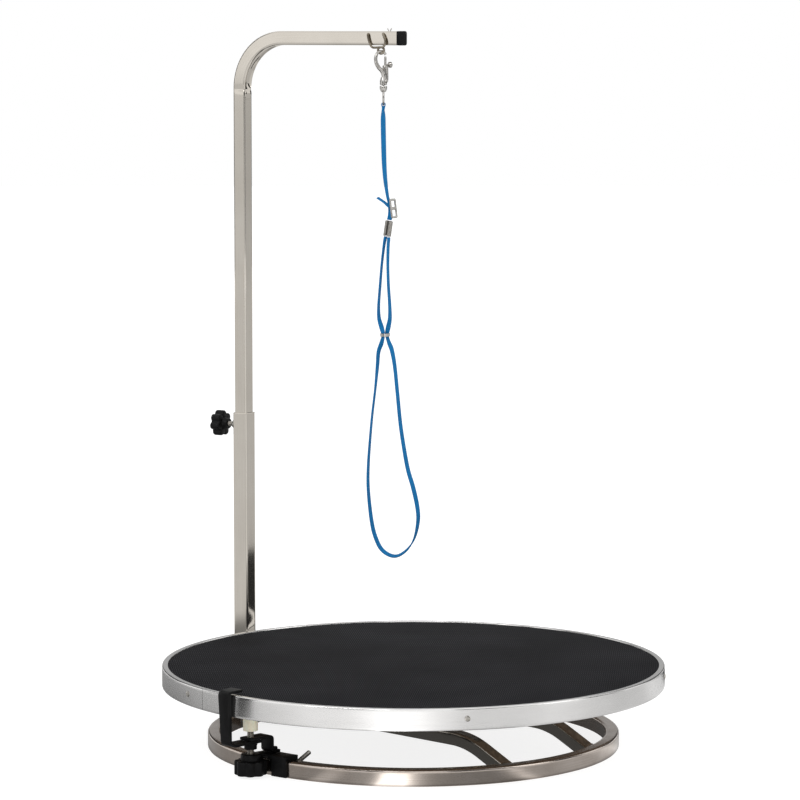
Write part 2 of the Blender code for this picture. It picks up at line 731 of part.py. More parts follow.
def split_pin():
    """A small hairpin through the arm's upper wall, its ends spread."""
    half = [(0.0029, 0.8533), (0.0016, 0.8513), (0.0009, 0.8490), (0.0009, 0.8462)]
    turn = [(0.0009 * math.cos(a), 0.8455 - 0.0009 * math.sin(a)) for a in (0.0, math.pi / 2, math.pi)]
    route = [(-x, z) for x, z in half] + [(-x, z) for x, z in turn] + half[::-1]
    points = [Vector((PIN_X + x, 0.0, z)) for x, z in route]
    node("split_pin", wire(points, 0.0006, 6), "chrome", POST)


HANGER_ROUTE = [
    (0.1898, -0.0045, 0.8465),
    (0.1898, -0.0085, 0.8465),
    (0.1898, -0.0097, 0.8461),
    (0.1900, -0.0102, 0.8448),
    (0.1912, -0.0102, 0.8395),
    (0.1935, -0.0102, 0.8338),
    (0.1958, -0.0100, 0.8309),
    (0.1992, -0.0093, 0.8302),
    (0.2040, -0.0088, 0.8305),
]
HANGER_END = [
    (0.2128, -0.0115, 0.8313),
    (0.2148, -0.0112, 0.8345),
    (0.2147, -0.0105, 0.8392),
    (0.2125, -0.0102, 0.8445),
    (0.2114, -0.0099, 0.8463),
    (0.2110, -0.0086, 0.8471),
    (0.2110, -0.0045, 0.8472),
]


def wire_hanger():
    """A wire from the arm's front wall that coils once into an eye below the arm and goes back."""
    eye = []
    for k in range(17):
        a = math.radians(90.0 - 22.5 * k)
        x = EYE_X + EYE_RADIUS * math.cos(a)
        z = EYE_Z + EYE_RADIUS * math.sin(a)
        eye.append((x, EYE_Y + 0.0014 - 0.0028 * k / 16, z))
    points = smooth_curve(HANGER_ROUTE, 3)[:-1] + [Vector(HANGER_ROUTE[-1])]
    points += [Vector(point) for point in eye]
    points += smooth_curve(HANGER_END, 3)
    node("wire_hanger", wire(points, WIRE_RADIUS, 6), "chrome", POST)


# Snap hook, in the plane of its jaw: X across the jaw, Z up, origin on the wire it hangs from

BARREL_X = 0.0060
NECK_Z = -0.0378
WINDOW_LOW = -0.0362
WINDOW_HIGH = -0.0326


def snap_body():
    """The hook, the barrel of its bolt and the collar of its swivel, as one casting."""
    route = [
        (0.0030, -0.0350, 0.0020),
        (0.0024, -0.0285, 0.0021),
        (0.0000, -0.0245, 0.0022),
        (-0.0038, -0.0210, 0.0022),
        (-0.0068, -0.0160, 0.0021),
        (-0.0081, -0.0100, 0.0020),
        (-0.0074, -0.0040, 0.0018),
        (-0.0048, 0.0008, 0.0016),
        (-0.0014, 0.0029, 0.00135),
        (0.0020, 0.0027, 0.00135),
        (0.0048, 0.0008, 0.0015),
        (0.0062, -0.0012, 0.0016),
    ]
    curve = smooth_curve([(x, radius, z) for x, z, radius in route], 2)
    points = [Vector((p.x, 0.0, p.z)) for p in curve]
    body = node("snap_body", skin(wire_rings(points, [p.y for p in curve], 8)), "chrome", SNAP)
    barrel = [(0.0028, -0.0345), (0.0032, -0.0320), (0.0032, -0.0150), (0.0028, -0.0145)]
    join(body, turned(barrel, 16, BARREL_X), SNAP)
    collar = [(0.0037, NECK_Z), (0.0042, -0.0371), (0.0042, -0.0322), (0.0034, -0.0295)]
    join(body, turned(collar, 16, SWIVEL_OFFSET), SNAP)
    cut(body, rod(0.0018, -0.0300, -0.0100, 12, BARREL_X), SNAP)
    cut(body, box(BARREL_X, BARREL_X + 0.006, -0.0012, 0.0012, -0.0240, -0.0100), SNAP)
    window = box(SWIVEL_OFFSET - 0.0030, SWIVEL_OFFSET + 0.0030, -0.008, 0.008, WINDOW_LOW, WINDOW_HIGH)
    cut(body, window, SNAP)
    cut(body, rod(0.0017, NECK_Z - 0.002, WINDOW_LOW + 0.001, 12, SWIVEL_OFFSET), SNAP)


def snap_bolt():
    """The sprung bolt that closes the jaw, with its thumb button."""
    bolt = node("snap_bolt", rod(0.0014, -0.0215, -0.0033, 12, BARREL_X, chamfer=0.0003), "chrome", SNAP)
    stem = SNAP @ frame(BARREL_X, 0.0, -0.0135, 0.0, 90.0)
    join(bolt, rod(0.0009, 0.0, 0.0052, 10), stem)
    button = [(0.0026, 0.0042), (0.0036, 0.0050), (0.0036, 0.0072), (0.0024, 0.0086)]
    join(bolt, turned(button, 14), stem)


def swivel():
    """The oval ring under the snap, on a headed pin that turns in the collar."""
    place = frame(SWIVEL_AXIS.x, SWIVEL_AXIS.y, PIVOT.z, 90.0)
    cup = [
        (0.0022, -0.0462),
        (0.0040, -0.0440),
        (0.0045, -0.0400),
        (0.0040, -0.0388),
        (0.0013, -0.0388),
        (0.0013, -0.0356),
        (0.0024, -0.0354),
        (0.0024, -0.0338),
        (0.0016, -0.0333),
    ]
    ring = node("swivel_ring", turned(cup, 16), "chrome", place)
    points = []
    for k in range(20):
        a = math.tau * k / 20
        points.append(Vector((0.0066 * math.cos(a), 0.0, -0.0530 + 0.0082 * math.sin(a))))
    join(ring, wire(points, 0.0012, 6, closed=True), place)


# Noose: X along the arm, Y away from the front, Z up from the floor

LEAD_ROUTE = [
    (-0.0005, 0.0, 0.7602),
    (-0.0004, 0.0, 0.7450),
    (-0.0002, 0.0, 0.7310),
    (0.0004, 0.0, 0.7070),
    (0.0011, 0.0, 0.6890),
    (0.0026, 0.0, 0.6710),
    (0.0053, 0.0003, 0.6525),
    (0.0076, 0.0008, 0.6430),
    (0.0089, 0.0010, 0.6350),
    (0.0091, 0.0006, 0.6285),
    (0.0083, 0.0, 0.6223),
]
TAIL_ROUTE = [(0.0092, -0.0046, 0.6400), (0.0040, -0.0048, 0.6440), (-0.0053, -0.0050, 0.6492)]
LEFT_STRAND = [
    (0.0029, 0.0, 0.6021),
    (0.0019, 0.0, 0.5975),
    (0.0004, 0.0, 0.5890),
    (-0.0025, 0.0, 0.5673),
    (-0.0048, 0.0, 0.5429),
    (-0.0069, 0.0, 0.5184),
    (-0.0062, -0.0004, 0.5026),
    (-0.0018, -0.0018, 0.4915),
    (0.0010, -0.0025, 0.4823),
]
LOOP = [
    (0.0010, -0.0025, 0.4823),
    (-0.0018, -0.0020, 0.4720),
    (-0.0066, -0.0010, 0.4610),
    (-0.0088, 0.0, 0.4438),
    (-0.0119, 0.0, 0.4154),
    (-0.0163, 0.0, 0.3832),
    (-0.0194, 0.0, 0.3535),
    (-0.0220, 0.0, 0.3212),
    (-0.0222, 0.0, 0.2928),
    (-0.0182, 0.0, 0.2573),
    (-0.0125, 0.0, 0.2345),
    (-0.0020, 0.0, 0.2175),
    (0.0155, 0.0, 0.2112),
    (0.0317, 0.0, 0.2190),
    (0.0437, 0.0, 0.2347),
    (0.0492, 0.0, 0.2565),
    (0.0482, 0.0, 0.2743),
    (0.0424, 0.0, 0.2972),
    (0.0350, 0.0, 0.3187),
    (0.0296, 0.0, 0.3429),
    (0.0241, 0.0, 0.3745),
    (0.0198, 0.0, 0.4121),
    (0.0158, 0.0002, 0.4450),
    (0.0112, 0.0010, 0.4640),
    (0.0063, 0.0020, 0.4735),
    (0.0034, 0.0025, 0.4823),
]
RIGHT_STRAND = [
    (0.0034, 0.0025, 0.4823),
    (0.0060, 0.0015, 0.4925),
    (0.0088, 0.0004, 0.5032),
    (0.0088, 0.0, 0.5191),
    (0.0070, 0.0, 0.5433),
    (0.0062, 0.0, 0.5676),
    (0.0066, 0.0, 0.5895),
    (0.0073, 0.0, 0.5975),
    (0.0074, 0.0, 0.6013),
]


def cord(name, routes, spacing):
    """A round cord through one or more smooth routes, each of which starts where the last one ends."""
    points = [Vector(routes[0][0])]
    for route in routes:
        points += even_points(smooth_curve(route, 8), spacing)[1:]
    curve = bpy.data.curves.new(name, "CURVE")
    curve.dimensions = "3D"
    curve.bevel_depth = CORD_RADIUS
    curve.bevel_resolution = 2
    curve.use_fill_caps = True
    line = curve.splines.new("POLY")
    line.points.add(len(points) - 1)
    for spot, point in zip(line.points, points):
        spot.co = (*point, 1.0)
    curve.materials.append(look("blue_webbing"))
    obj = bpy.data.objects.new(name, curve)
    bpy.context.scene.collection.objects.link(obj)
    obj.matrix_world = NOOSE


def noose():
    cord("noose_lead", [LEAD_ROUTE], 0.010)
    cord("noose_tail", [TAIL_ROUTE], 0.008)
    cord("noose_loop", [LEFT_STRAND, LOOP, RIGHT_STRAND], 0.0115)


def noose_fittings():
    """The three-bar slide that sets the lead's length, the crimp above the loop and the keeper on it."""
    slide = NOOSE @ frame(0.0141, 0.0, 0.6365, 0.0, 172.5)
    plate = node("noose_slide", box(-0.0008, 0.0008, -0.0065, 0.0065, -0.0120, 0.0120), "chrome", slide)
    for low, high in ((-0.0092, -0.0018), (0.0018, 0.0092)):
        cut(plate, box(-0.002, 0.002, -0.0042, 0.0042, low, high), slide)
    crimp = NOOSE @ frame(0.0066, 0.0, 0.6119, 0.0, 9.3)
    ferrule = node("noose_crimp", prism(rounded(0.0092, 0.0058, 0.0018), -0.0093, 0.0093), "chrome", crimp)
    cut(ferrule, box(-0.0009, 0.0009, -0.006, -0.0018, -0.02, 0.02), crimp)
    keeper_place = NOOSE @ frame(0.0022, 0.0, 0.4823)
    keeper = prism(rounded(0.0096, 0.0126, 0.0030), -0.0021, 0.0021)
    hole = prism(rounded(0.0080, 0.0110, 0.0008), -0.01, 0.01)
    cut(node("noose_keeper", keeper, "chrome", keeper_place), hole, keeper_place)


def main():
    clear_scene()
    base_ring()
    rails()
    cross_tubes()
    bearing()
    table_board()
    rubber_mat()
    rim_trim()
    rim_screws()
    lock_brackets()
    clamp_stud()
    lock_screw()
    arm_bracket()
    socket_knob()
    post_sleeve()
    arm_knob()
    upper_arm()
    end_cap()
    split_pin()
    wire_hanger()
    snap_body()
    snap_bolt()
    swivel()
    noose()
    noose_fittings()


main()
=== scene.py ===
"""The looks of the round grooming table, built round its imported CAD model. Metres, +Z up."""

import json
import math

import bmesh
import bpy
from mathutils import Matrix, Vector


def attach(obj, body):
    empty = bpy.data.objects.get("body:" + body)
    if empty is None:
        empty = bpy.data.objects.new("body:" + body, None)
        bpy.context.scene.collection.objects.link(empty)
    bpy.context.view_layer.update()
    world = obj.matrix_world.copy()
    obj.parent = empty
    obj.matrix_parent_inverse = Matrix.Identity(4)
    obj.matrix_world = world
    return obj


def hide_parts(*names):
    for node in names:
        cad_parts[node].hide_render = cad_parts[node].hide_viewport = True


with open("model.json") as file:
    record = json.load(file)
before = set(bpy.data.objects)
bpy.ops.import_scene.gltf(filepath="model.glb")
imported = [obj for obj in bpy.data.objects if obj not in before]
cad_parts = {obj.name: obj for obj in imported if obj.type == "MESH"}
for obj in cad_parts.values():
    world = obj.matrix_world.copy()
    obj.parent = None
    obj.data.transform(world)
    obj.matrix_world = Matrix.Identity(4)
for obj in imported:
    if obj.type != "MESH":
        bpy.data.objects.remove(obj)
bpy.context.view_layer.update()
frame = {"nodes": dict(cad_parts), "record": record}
nodes = frame["nodes"]

# Sizes repeated from the CAD model
TOP_RADIUS = 0.300
TOP_HEIGHT = 0.100
RIM_HEIGHT = 0.025
RIM_WALL = 0.0015
RIM_LIP = 0.0070
RIM_LIP_THICKNESS = 0.0013
RIM_SCREW_HEIGHT = 0.0885
RIM_SCREW_START = -6.6
RIM_SCREWS = 5
SEAM_ANGLE = 216.0
MAT_LOW = 0.0955
MAT_HIGH = 0.0989
BASE_RADIUS = 0.246
RING_WIDTH = 0.016
RING_HEIGHT = 0.020
RAIL_SIZE = 0.016
RAIL_OFFSET = 0.071
RAIL_YAW = -44.0
RAIL_CENTRE_HEIGHT = 0.0372
RAIL_BEND_START = 0.135
RAIL_BEND_ANGLE = 24.2
RAIL_BEND_RADIUS = 0.105
POST_X = -0.2115
POST_Y = 0.2335
ARM_YAW = -31.5
SLEEVE_SIZE = 0.020
SLEEVE_LOW = 0.005
SLEEVE_TOP = 0.375
TUBE_WALL = 0.0012
ARM_SIZE = 0.017
ARM_BOTTOM = 0.275
ARM_TOP = 0.850
ARM_REACH = 0.2295
ARM_BEND_RADIUS = 0.062
ARM_KNOB_HEIGHT = 0.3595
SOCKET_KNOB_HEIGHT = 0.035
LOCK_ANGLE = 225.2
LOCK_RADIUS = 0.2656
STUD_ANGLE = 232.6
STUD_TILT = -69.2
SADDLE_INNER = 0.2265
EYE_X = 0.2087
EYE_Y = -0.0102
EYE_Z = 0.8268
EYE_RADIUS = 0.0038
WIRE_RADIUS = 0.0014
JAW_YAW = 30.0
SWIVEL_OFFSET = 0.0033
BARREL_X = 0.0060

# Webbing
STRAP_WIDTH = 0.0062
STRAP_THICKNESS = 0.0017


# Frames


def place_at(x=0.0, y=0.0, z=0.0, yaw=0.0, tilt=0.0):
    """A place: turned by tilt about Y, then by yaw about Z, then moved. Angles in degrees."""
    turn = Matrix.Rotation(math.radians(yaw), 4, "Z") @ Matrix.Rotation(math.radians(tilt), 4, "Y")
    return Matrix.Translation((x, y, z)) @ turn


def polar(radius, angle, z=0.0, tilt=0.0):
    turn = math.radians(angle)
    return place_at(radius * math.cos(turn), radius * math.sin(turn), z, angle, tilt)


POST = place_at(POST_X, POST_Y, 0.0, ARM_YAW)
LOCK = polar(LOCK_RADIUS, LOCK_ANGLE)
PIVOT = POST @ Vector((EYE_X, EYE_Y, EYE_Z - EYE_RADIUS))
SNAP = place_at(*PIVOT, JAW_YAW)
SWIVEL_AXIS = SNAP @ Vector((SWIVEL_OFFSET, 0.0, 0.0))
SWIVEL = place_at(SWIVEL_AXIS.x, SWIVEL_AXIS.y, PIVOT.z, 90.0)
NOOSE = place_at(SWIVEL_AXIS.x, SWIVEL_AXIS.y, 0.0, ARM_YAW)


def side_place(height):
    """On the post's axis at a height, with +Z pointing away from the arm."""
    return POST @ place_at(0.0, 0.0, height, 0.0, -90.0)


# Materials


class Look:
    """A node material in the making. Each method adds a node and gives back its output."""

    def __init__(self, name, roughness, metallic=0.0, **sockets):
        self.material = bpy.data.materials.new(name)
        self.material.use_nodes = True
        self.tree = self.material.node_tree
        self.shader = self.tree.nodes["Principled BSDF"]
        self.shader.inputs["Roughness"].default_value = roughness
        self.shader.inputs["Metallic"].default_value = metallic
        for socket, value in sockets.items():
            self.shader.inputs[socket.replace("_", " ")].default_value = value

    def put(self, value, socket):
        if isinstance(value, bpy.types.NodeSocket):
            self.tree.links.new(value, socket)
        else:
            socket.default_value = value

    def place(self, kind="Object"):
        return self.tree.nodes.new("ShaderNodeTexCoord").outputs[kind]

    def stretch(self, vector, scale, yaw=0.0):
        node = self.tree.nodes.new("ShaderNodeMapping")
        node.inputs["Scale"].default_value = scale
        node.inputs["Rotation"].default_value = (0.0, 0.0, math.radians(yaw))
        self.put(vector, node.inputs["Vector"])
        return node.outputs["Vector"]

    def split(self, vector):
        node = self.tree.nodes.new("ShaderNodeSeparateXYZ")
        self.put(vector, node.inputs[0])
        return node.outputs["X"], node.outputs["Y"], node.outputs["Z"]

    def sum(self, operation, *values):
        node = self.tree.nodes.new("ShaderNodeMath")
        node.operation = operation
        for value, socket in zip(values, node.inputs):
            self.put(value, socket)
        return node.outputs[0]

    def weigh(self, first, second, share):
        """The first value times the share, and the second times the rest."""
        return self.sum("ADD", self.sum("MULTIPLY", first, share), self.sum("MULTIPLY", second, 1.0 - share))

    def noise(self, vector, scale=1.0, detail=3.0, roughness=0.5):
        node = self.tree.nodes.new("ShaderNodeTexNoise")
        node.inputs["Scale"].default_value = scale
        node.inputs["Detail"].default_value = detail
        node.inputs["Roughness"].default_value = roughness
        self.put(vector, node.inputs["Vector"])
        return node.outputs["Fac"]

    def span(self, value, low, high, to_low=0.0, to_high=1.0):
        node = self.tree.nodes.new("ShaderNodeMapRange")
        limits = {"From Min": low, "From Max": high, "To Min": to_low, "To Max": to_high}
        for name, number in limits.items():
            node.inputs[name].default_value = number
        self.put(value, node.inputs["Value"])
        return node.outputs["Result"]

    def blend(self, share, first, second):
        node = self.tree.nodes.new("ShaderNodeMix")
        node.data_type = "RGBA"
        self.put(share, node.inputs["Factor"])
        colours = [socket for socket in node.inputs if socket.type == "RGBA"]
        for colour, socket in zip((first, second), colours):
            self.put(colour if isinstance(colour, bpy.types.NodeSocket) else (*colour, 1.0), socket)
        return next(socket for socket in node.outputs if socket.type == "RGBA")

    def ramp(self, value, stops):
        node = self.tree.nodes.new("ShaderNodeValToRGB")
        elements = node.color_ramp.elements
        while len(elements) < len(stops):
            elements.new(0.5)
        for element, (position, shade) in zip(elements, stops):
            element.position = position
            element.color = (shade, shade, shade, 1.0)
        self.put(value, node.inputs[0])
        return node.outputs["Color"]

    def edge(self, radius):
        """Near 1 on outer edges: how far the bevelled normal turns from the true one."""
        bevel = self.tree.nodes.new("ShaderNodeBevel")
        bevel.samples = 4
        bevel.inputs["Radius"].default_value = radius
        geometry = self.tree.nodes.new("ShaderNodeNewGeometry")
        dot = self.tree.nodes.new("ShaderNodeVectorMath")
        dot.operation = "DOT_PRODUCT"
        self.put(bevel.outputs[0], dot.inputs[0])
        self.put(geometry.outputs["Normal"], dot.inputs[1])
        return self.span(dot.outputs["Value"], 0.98, 0.86)

    def colour(self, value):
        self.put(value, self.shader.inputs["Base Color"])

    def roughness(self, value):
        self.put(value, self.shader.inputs["Roughness"])

    def bump(self, height, distance, strength=1.0):
        node = self.tree.nodes.new("ShaderNodeBump")
        node.inputs["Distance"].default_value = distance
        node.inputs["Strength"].default_value = strength
        self.put(height, node.inputs["Height"])
        self.put(node.outputs[0], self.shader.inputs["Normal"])


def metal(name, light, dark, roughness, grain, streak, blotch=14.0):
    """Worked metal: streaks along UV V, faint blotches of stain, and a roughness that follows both."""
    look = Look(name, roughness, 1.0)
    where = look.place("UV")
    lines = look.noise(look.stretch(where, (grain, streak, 1.0)), 1.0, 4.0, 0.6)
    stains = look.noise(look.place("Object"), blotch, 4.0, 0.55)
    shade = look.weigh(lines, stains, 0.45)
    look.colour(look.blend(look.span(shade, 0.36, 0.64), dark, light))
    look.roughness(look.span(shade, 0.3, 0.7, roughness * 1.35, roughness * 0.75))
    look.bump(lines, 0.00002, 0.35)
    return look.material


def bare_metal(name, light, dark, roughness, relief=0.00003):
    """Plated or cast metal with no grain: fine speckle and a few darker marks."""
    look = Look(name, roughness, 1.0)
    where = look.place("Object")
    speckle = look.noise(where, 220.0, 5.0, 0.6)
    marks = look.noise(where, 55.0)
    look.colour(look.blend(look.span(look.sum("MULTIPLY", speckle, marks), 0.14, 0.34), dark, light))
    look.roughness(look.span(speckle, 0.3, 0.7, roughness * 1.3, roughness * 0.8))
    look.bump(speckle, relief, 0.4)
    return look.material


def rim_material():
    """Satin aluminium, drawn round the edge of the top."""
    look = Look("rim_aluminium", 0.2, 1.0, Anisotropic=0.9, Anisotropic_Rotation=0.25)
    where = look.place("UV")
    lines = look.noise(look.stretch(where, (5200.0, 26.0, 1.0)), 1.0, 4.0, 0.65)
    clouds = look.noise(look.stretch(where, (60.0, 14.0, 1.0)), 1.0, 3.0, 0.5)
    shade = look.weigh(lines, clouds, 0.6)
    look.colour(look.blend(look.span(shade, 0.34, 0.66), (0.78, 0.77, 0.76), (0.87, 0.86, 0.85)))
    look.roughness(look.span(shade, 0.3, 0.7, 0.23, 0.17))
    look.bump(lines, 0.000006, 0.05)
    return look.material


def mat_material():
    """Ribbed rubber: rows of small lozenges in a diagonal lattice, the lozenges painted paler and the hollows
    darker as painted light and shade.
    """
    look = Look("mat_rubber", 0.7, Specular_IOR_Level=0.05)
    across, along, _ = look.split(look.place("Object"))
    pitch = math.tau / 0.0050
    rise = look.sum("MULTIPLY", look.sum("ADD", across, look.sum("MULTIPLY", along, 0.12)), pitch)
    fall = look.sum("MULTIPLY", look.sum("SUBTRACT", across, look.sum("MULTIPLY", along, 0.09)), pitch)
    lattice = look.sum("ABSOLUTE", look.sum("MULTIPLY", look.sum("SINE", rise), look.sum("SINE", fall)))
    studs = look.span(lattice, 0.2, 0.8)
    grit = look.noise(look.place("Object"), 900.0, 3.0, 0.6)
    cloud = look.noise(look.place("Object"), 9.0, 3.0, 0.5)
    # Painted light and shade: the raised lozenges are painted paler than the hollows, in random patches.
    painted_stud_light = look.sum("MULTIPLY", studs, look.span(cloud, 0.35, 0.7, 0.6, 1.0))
    look.colour(look.blend(painted_stud_light, (0.001, 0.001, 0.0012), (0.040, 0.040, 0.046)))
    look.roughness(look.span(grit, 0.3, 0.7, 0.6, 0.82))
    look.bump(look.sum("ADD", studs, look.sum("MULTIPLY", grit, 0.12)), 0.0003, 0.6)
    return look.material


def black_material(name, roughness, scale, relief, edge_highlight_strength):
    """Black coating or plastic with a fine skin, its outer edges painted paler in random patches as a painted
    highlight.
    """
    look = Look(name, roughness, 0.0, Specular_IOR_Level=0.14)
    where = look.place("Object")
    skin = look.noise(where, scale, 3.0, 0.55)
    patch = look.noise(where, 60.0, 4.0, 0.6)
    base = look.blend(look.span(patch, 0.35, 0.7), (0.0026, 0.0026, 0.0028), (0.0058, 0.0058, 0.006))
    # Painted highlight: the outer edges are painted paler, in random patches.
    painted_edge_highlight = look.sum("MULTIPLY", look.edge(0.0006), look.span(patch, 0.42, 0.62, 0.0, edge_highlight_strength))
    look.colour(look.blend(painted_edge_highlight, base, (0.03, 0.03, 0.032)))
    look.roughness(look.span(skin, 0.3, 0.7, roughness * 0.85, roughness * 1.2))
    look.bump(skin, relief, 0.6)
    return look.material


def nylon_material():
    look = Look("cream_nylon", 0.42, Subsurface_Weight=0.12, Subsurface_Scale=0.004)
    where = look.place("Object")
    cloud = look.noise(where, 180.0, 4.0, 0.6)
    grime = look.noise(where, 420.0, 2.0, 0.5)
    clean = look.blend(look.span(cloud, 0.3, 0.7), (0.74, 0.69, 0.52), (0.83, 0.79, 0.63))
    look.colour(look.blend(look.span(grime, 0.58, 0.78, 0.0, 0.35), clean, (0.36, 0.32, 0.24)))
    look.bump(cloud, 0.00005, 0.4)
    return look.material


def board_material():
    """Chipboard: flat flakes pressed together."""
    look = Look("chipboard", 0.75)
    where = look.place("Object")
    cells = look.tree.nodes.new("ShaderNodeTexVoronoi")
    cells.inputs["Scale"].default_value = 210.0
    look.put(look.stretch(where, (1.0, 0.45, 1.6), 30.0), cells.inputs["Vector"])
    tone = look.split(cells.outputs["Color"])[0]
    fibre = look.noise(where, 900.0, 3.0, 0.6)
    mixed = look.weigh(tone, fibre, 0.6)
    look.colour(look.blend(mixed, (0.05, 0.034, 0.022), (0.15, 0.105, 0.07)))
    look.bump(mixed, 0.0002, 0.5)
    return look.material


def webbing_material():
    """Flat woven nylon: two rows of slanted picks meet in the middle, between close-woven edges."""
    look = Look("blue_webbing", 0.62, Sheen_Weight=0.0, Specular_IOR_Level=0.2)
    across, along, _ = look.split(look.place("UV"))
    slant = look.sum("ADD", along, look.sum("MULTIPLY", look.sum("PINGPONG", across, 0.0031), 0.9))
    picks = look.sum("SINE", look.sum("MULTIPLY", slant, math.tau / 0.0013))
    warps = look.sum("SINE", look.sum("MULTIPLY", across, math.tau / 0.0011))
    height = look.span(look.sum("ADD", picks, look.sum("MULTIPLY", warps, 0.5)), -1.5, 1.5)
    fibre = look.noise(look.place("Object"), 2600.0, 2.0, 0.5)
    cloud = look.noise(look.place("Object"), 70.0, 3.0, 0.5)
    tone = look.weigh(height, cloud, 0.6)
    look.colour(look.blend(tone, (0.0, 0.062, 0.19), (0.0, 0.20, 0.48)))
    look.roughness(look.span(fibre, 0.3, 0.7, 0.52, 0.72))
    look.bump(look.sum("ADD", height, look.sum("MULTIPLY", fibre, 0.25)), 0.00018, 0.8)
    return look.material


STEEL = metal("polished_steel", (0.655, 0.615, 0.555), (0.58, 0.54, 0.48), 0.07, 1700.0, 12.0)
RING_STEEL = metal("ring_steel", (0.65, 0.58, 0.525), (0.51, 0.44, 0.385), 0.17, 2200.0, 9.0, 22.0)
DARK_STEEL = bare_metal("bearing_steel", (0.55, 0.54, 0.52), (0.36, 0.35, 0.33), 0.32)
CHROME = bare_metal("zinc_chrome", (0.60, 0.585, 0.555), (0.36, 0.345, 0.32), 0.13, relief=0.000008)
BRONZED = bare_metal("bronzed_wire", (0.36, 0.32, 0.26), (0.16, 0.135, 0.10), 0.2)
THREAD = bare_metal("thread_zinc", (0.62, 0.60, 0.56), (0.40, 0.38, 0.35), 0.27)
CRIMP = bare_metal("crimp_tin", (0.42, 0.40, 0.37), (0.24, 0.23, 0.21), 0.36)
ALUMINIUM = rim_material()
MAT = mat_material()
POWDER = black_material("powder_coat", 0.42, 1500.0, 0.00006, 0.5)
PLASTIC = black_material("knob_plastic", 0.36, 2400.0, 0.00003, 0.25)
RUBBER = black_material("plug_rubber", 0.62, 1300.0, 0.00006, 0.3)
NYLON = nylon_material()
BOARD = board_material()
WEBBING = webbing_material()

PLAIN_NODES = {
    DARK_STEEL: ["bearing_lower", "bearing_upper", "ball_cage", "cross_tube_front", "cross_tube_back"],
    CHROME: [f"{bolt}_bolt_{letter}" for bolt in ("bearing", "top") for letter in "abcd"],
    BOARD: ["table_board"],
}
SOFT_EDGES = {
    "lock_hook": (POWDER, "black_steel", 0.0005),
    "lock_nut": (POWDER, "black_steel", 0.0002),
    "lock_plate": (POWDER, "black_steel", 0.0005),
    "lock_plate_bolt": (POWDER, "black_steel", 0.0002),
    "lock_saddle": (POWDER, "black_steel", 0.0005),
    "arm_bracket": (POWDER, "black_steel", 0.0006),
    "lock_tip": (NYLON, "white_nylon", 0.0004),
    "end_cap": (RUBBER, "black_rubber", 0.0004),
}
for name in ("bracket_bolt_left", "bracket_bolt_right", "sleeve_nut", "socket_pad", "arm_pad", "clamp_pad"):
    SOFT_EDGES[name] = (CHROME, "chrome", 0.0002)

HOOK_PLATE_REACH = 0.2985
HOOK_PLATE_LOW = 0.044
HOOK_RIGHT = 0.0063
HOOK_INNER = 0.3005
HOOK_BEND_REACH = 0.3039
HOOK_BEND_LOW = 0.0970
HOOK_BEND_HIGH = 0.1012


def paint(obj, material):
    obj.data.materials.clear()
    obj.data.materials.append(material)


def dress_nodes():
    """CAD pieces whose shape is right: hidden ones get a material, others a copy with rounded edges."""
    for material, names in PLAIN_NODES.items():
        for name in names:
            paint(nodes[name], material)
    for name, (material, slot, width) in SOFT_EDGES.items():
        soften(name, material, slot, width)


def body_of(name):
    bodies = frame["record"]["behaviour"]["bodies"]
    return next(body for body, members in bodies.items() if name in members)


def close_hook(mesh):
    """Lays the hook's plate close along the edging, and cuts it back on its right side.

    The plate is what stands further out than HOOK_PLATE_REACH, above HOOK_PLATE_LOW.
    """
    turn = math.radians(LOCK_ANGLE)
    outward = Vector((math.cos(turn), math.sin(turn), 0.0))
    sideways = Vector((-outward.y, outward.x, 0.0))
    for vertex in mesh.vertices:
        reach = vertex.co.dot(outward)
        side = vertex.co.dot(sideways)
        if reach > HOOK_PLATE_REACH and vertex.co.z > HOOK_PLATE_LOW and side > HOOK_RIGHT:
            vertex.co -= sideways * (side - HOOK_RIGHT)
        if HOOK_INNER < reach < HOOK_BEND_REACH and HOOK_BEND_LOW < vertex.co.z < HOOK_BEND_HIGH:
            vertex.co -= outward * (reach - HOOK_INNER)


def soften(name, material, slot, width):
    mesh = nodes[name].data.copy()
    mesh.transform(nodes[name].matrix_world)
    if name == "lock_hook":
        close_hook(mesh)
    obj = bpy.data.objects.new(name + "_softened", mesh)
    bpy.context.scene.collection.objects.link(obj)
    paint(obj, material)
    weld = obj.modifiers.new("weld", "WELD")
    weld.merge_threshold = 0.00002
    round_edges(obj, width, 2, 32.0, 36.0)
    stands_for(obj, body_of(name), slot, name)


# Meshes


def surface(name, rings, material, closed=False, place=None, sharp=38.0):
    """A body skinned over rings of points, with UVs in metres: U round each ring, V from ring to ring."""
    shape = bmesh.new()
    uv = shape.loops.layers.uv.new("UVMap")
    loops = [[shape.verts.new(point) for point in ring] for ring in rings]
    steps = [0.0]
    for near, far in zip(rings, [*rings[1:], rings[0]]):
        steps.append(steps[-1] + (Vector(near[0]) - Vector(far[0])).length)
    around = [0.0]
    middle = rings[len(rings) // 2]
    for a, b in zip(middle, [*middle[1:], middle[0]]):
        around.append(around[-1] + (Vector(a) - Vector(b)).length)
    pairs = [(i, (i + 1) % len(loops)) for i in range(len(loops) if closed else len(loops) - 1)]
    count = len(loops[0])
    for i, j in pairs:
        for k in range(count):
            m = (k + 1) % count
            face = shape.faces.new((loops[i][k], loops[i][m], loops[j][m], loops[j][k]))
            left, right = around[k : k + 2]
            low, high = steps[i : i + 2]
            corners = ((left, low), (right, low), (right, high), (left, high))
            for loop, corner in zip(face.loops, corners):
                loop[uv].uv = corner
    if not closed:
        shape.faces.new(loops[0][::-1])
        shape.faces.new(loops[-1])
    return piece(name, shape, material, place, sharp)


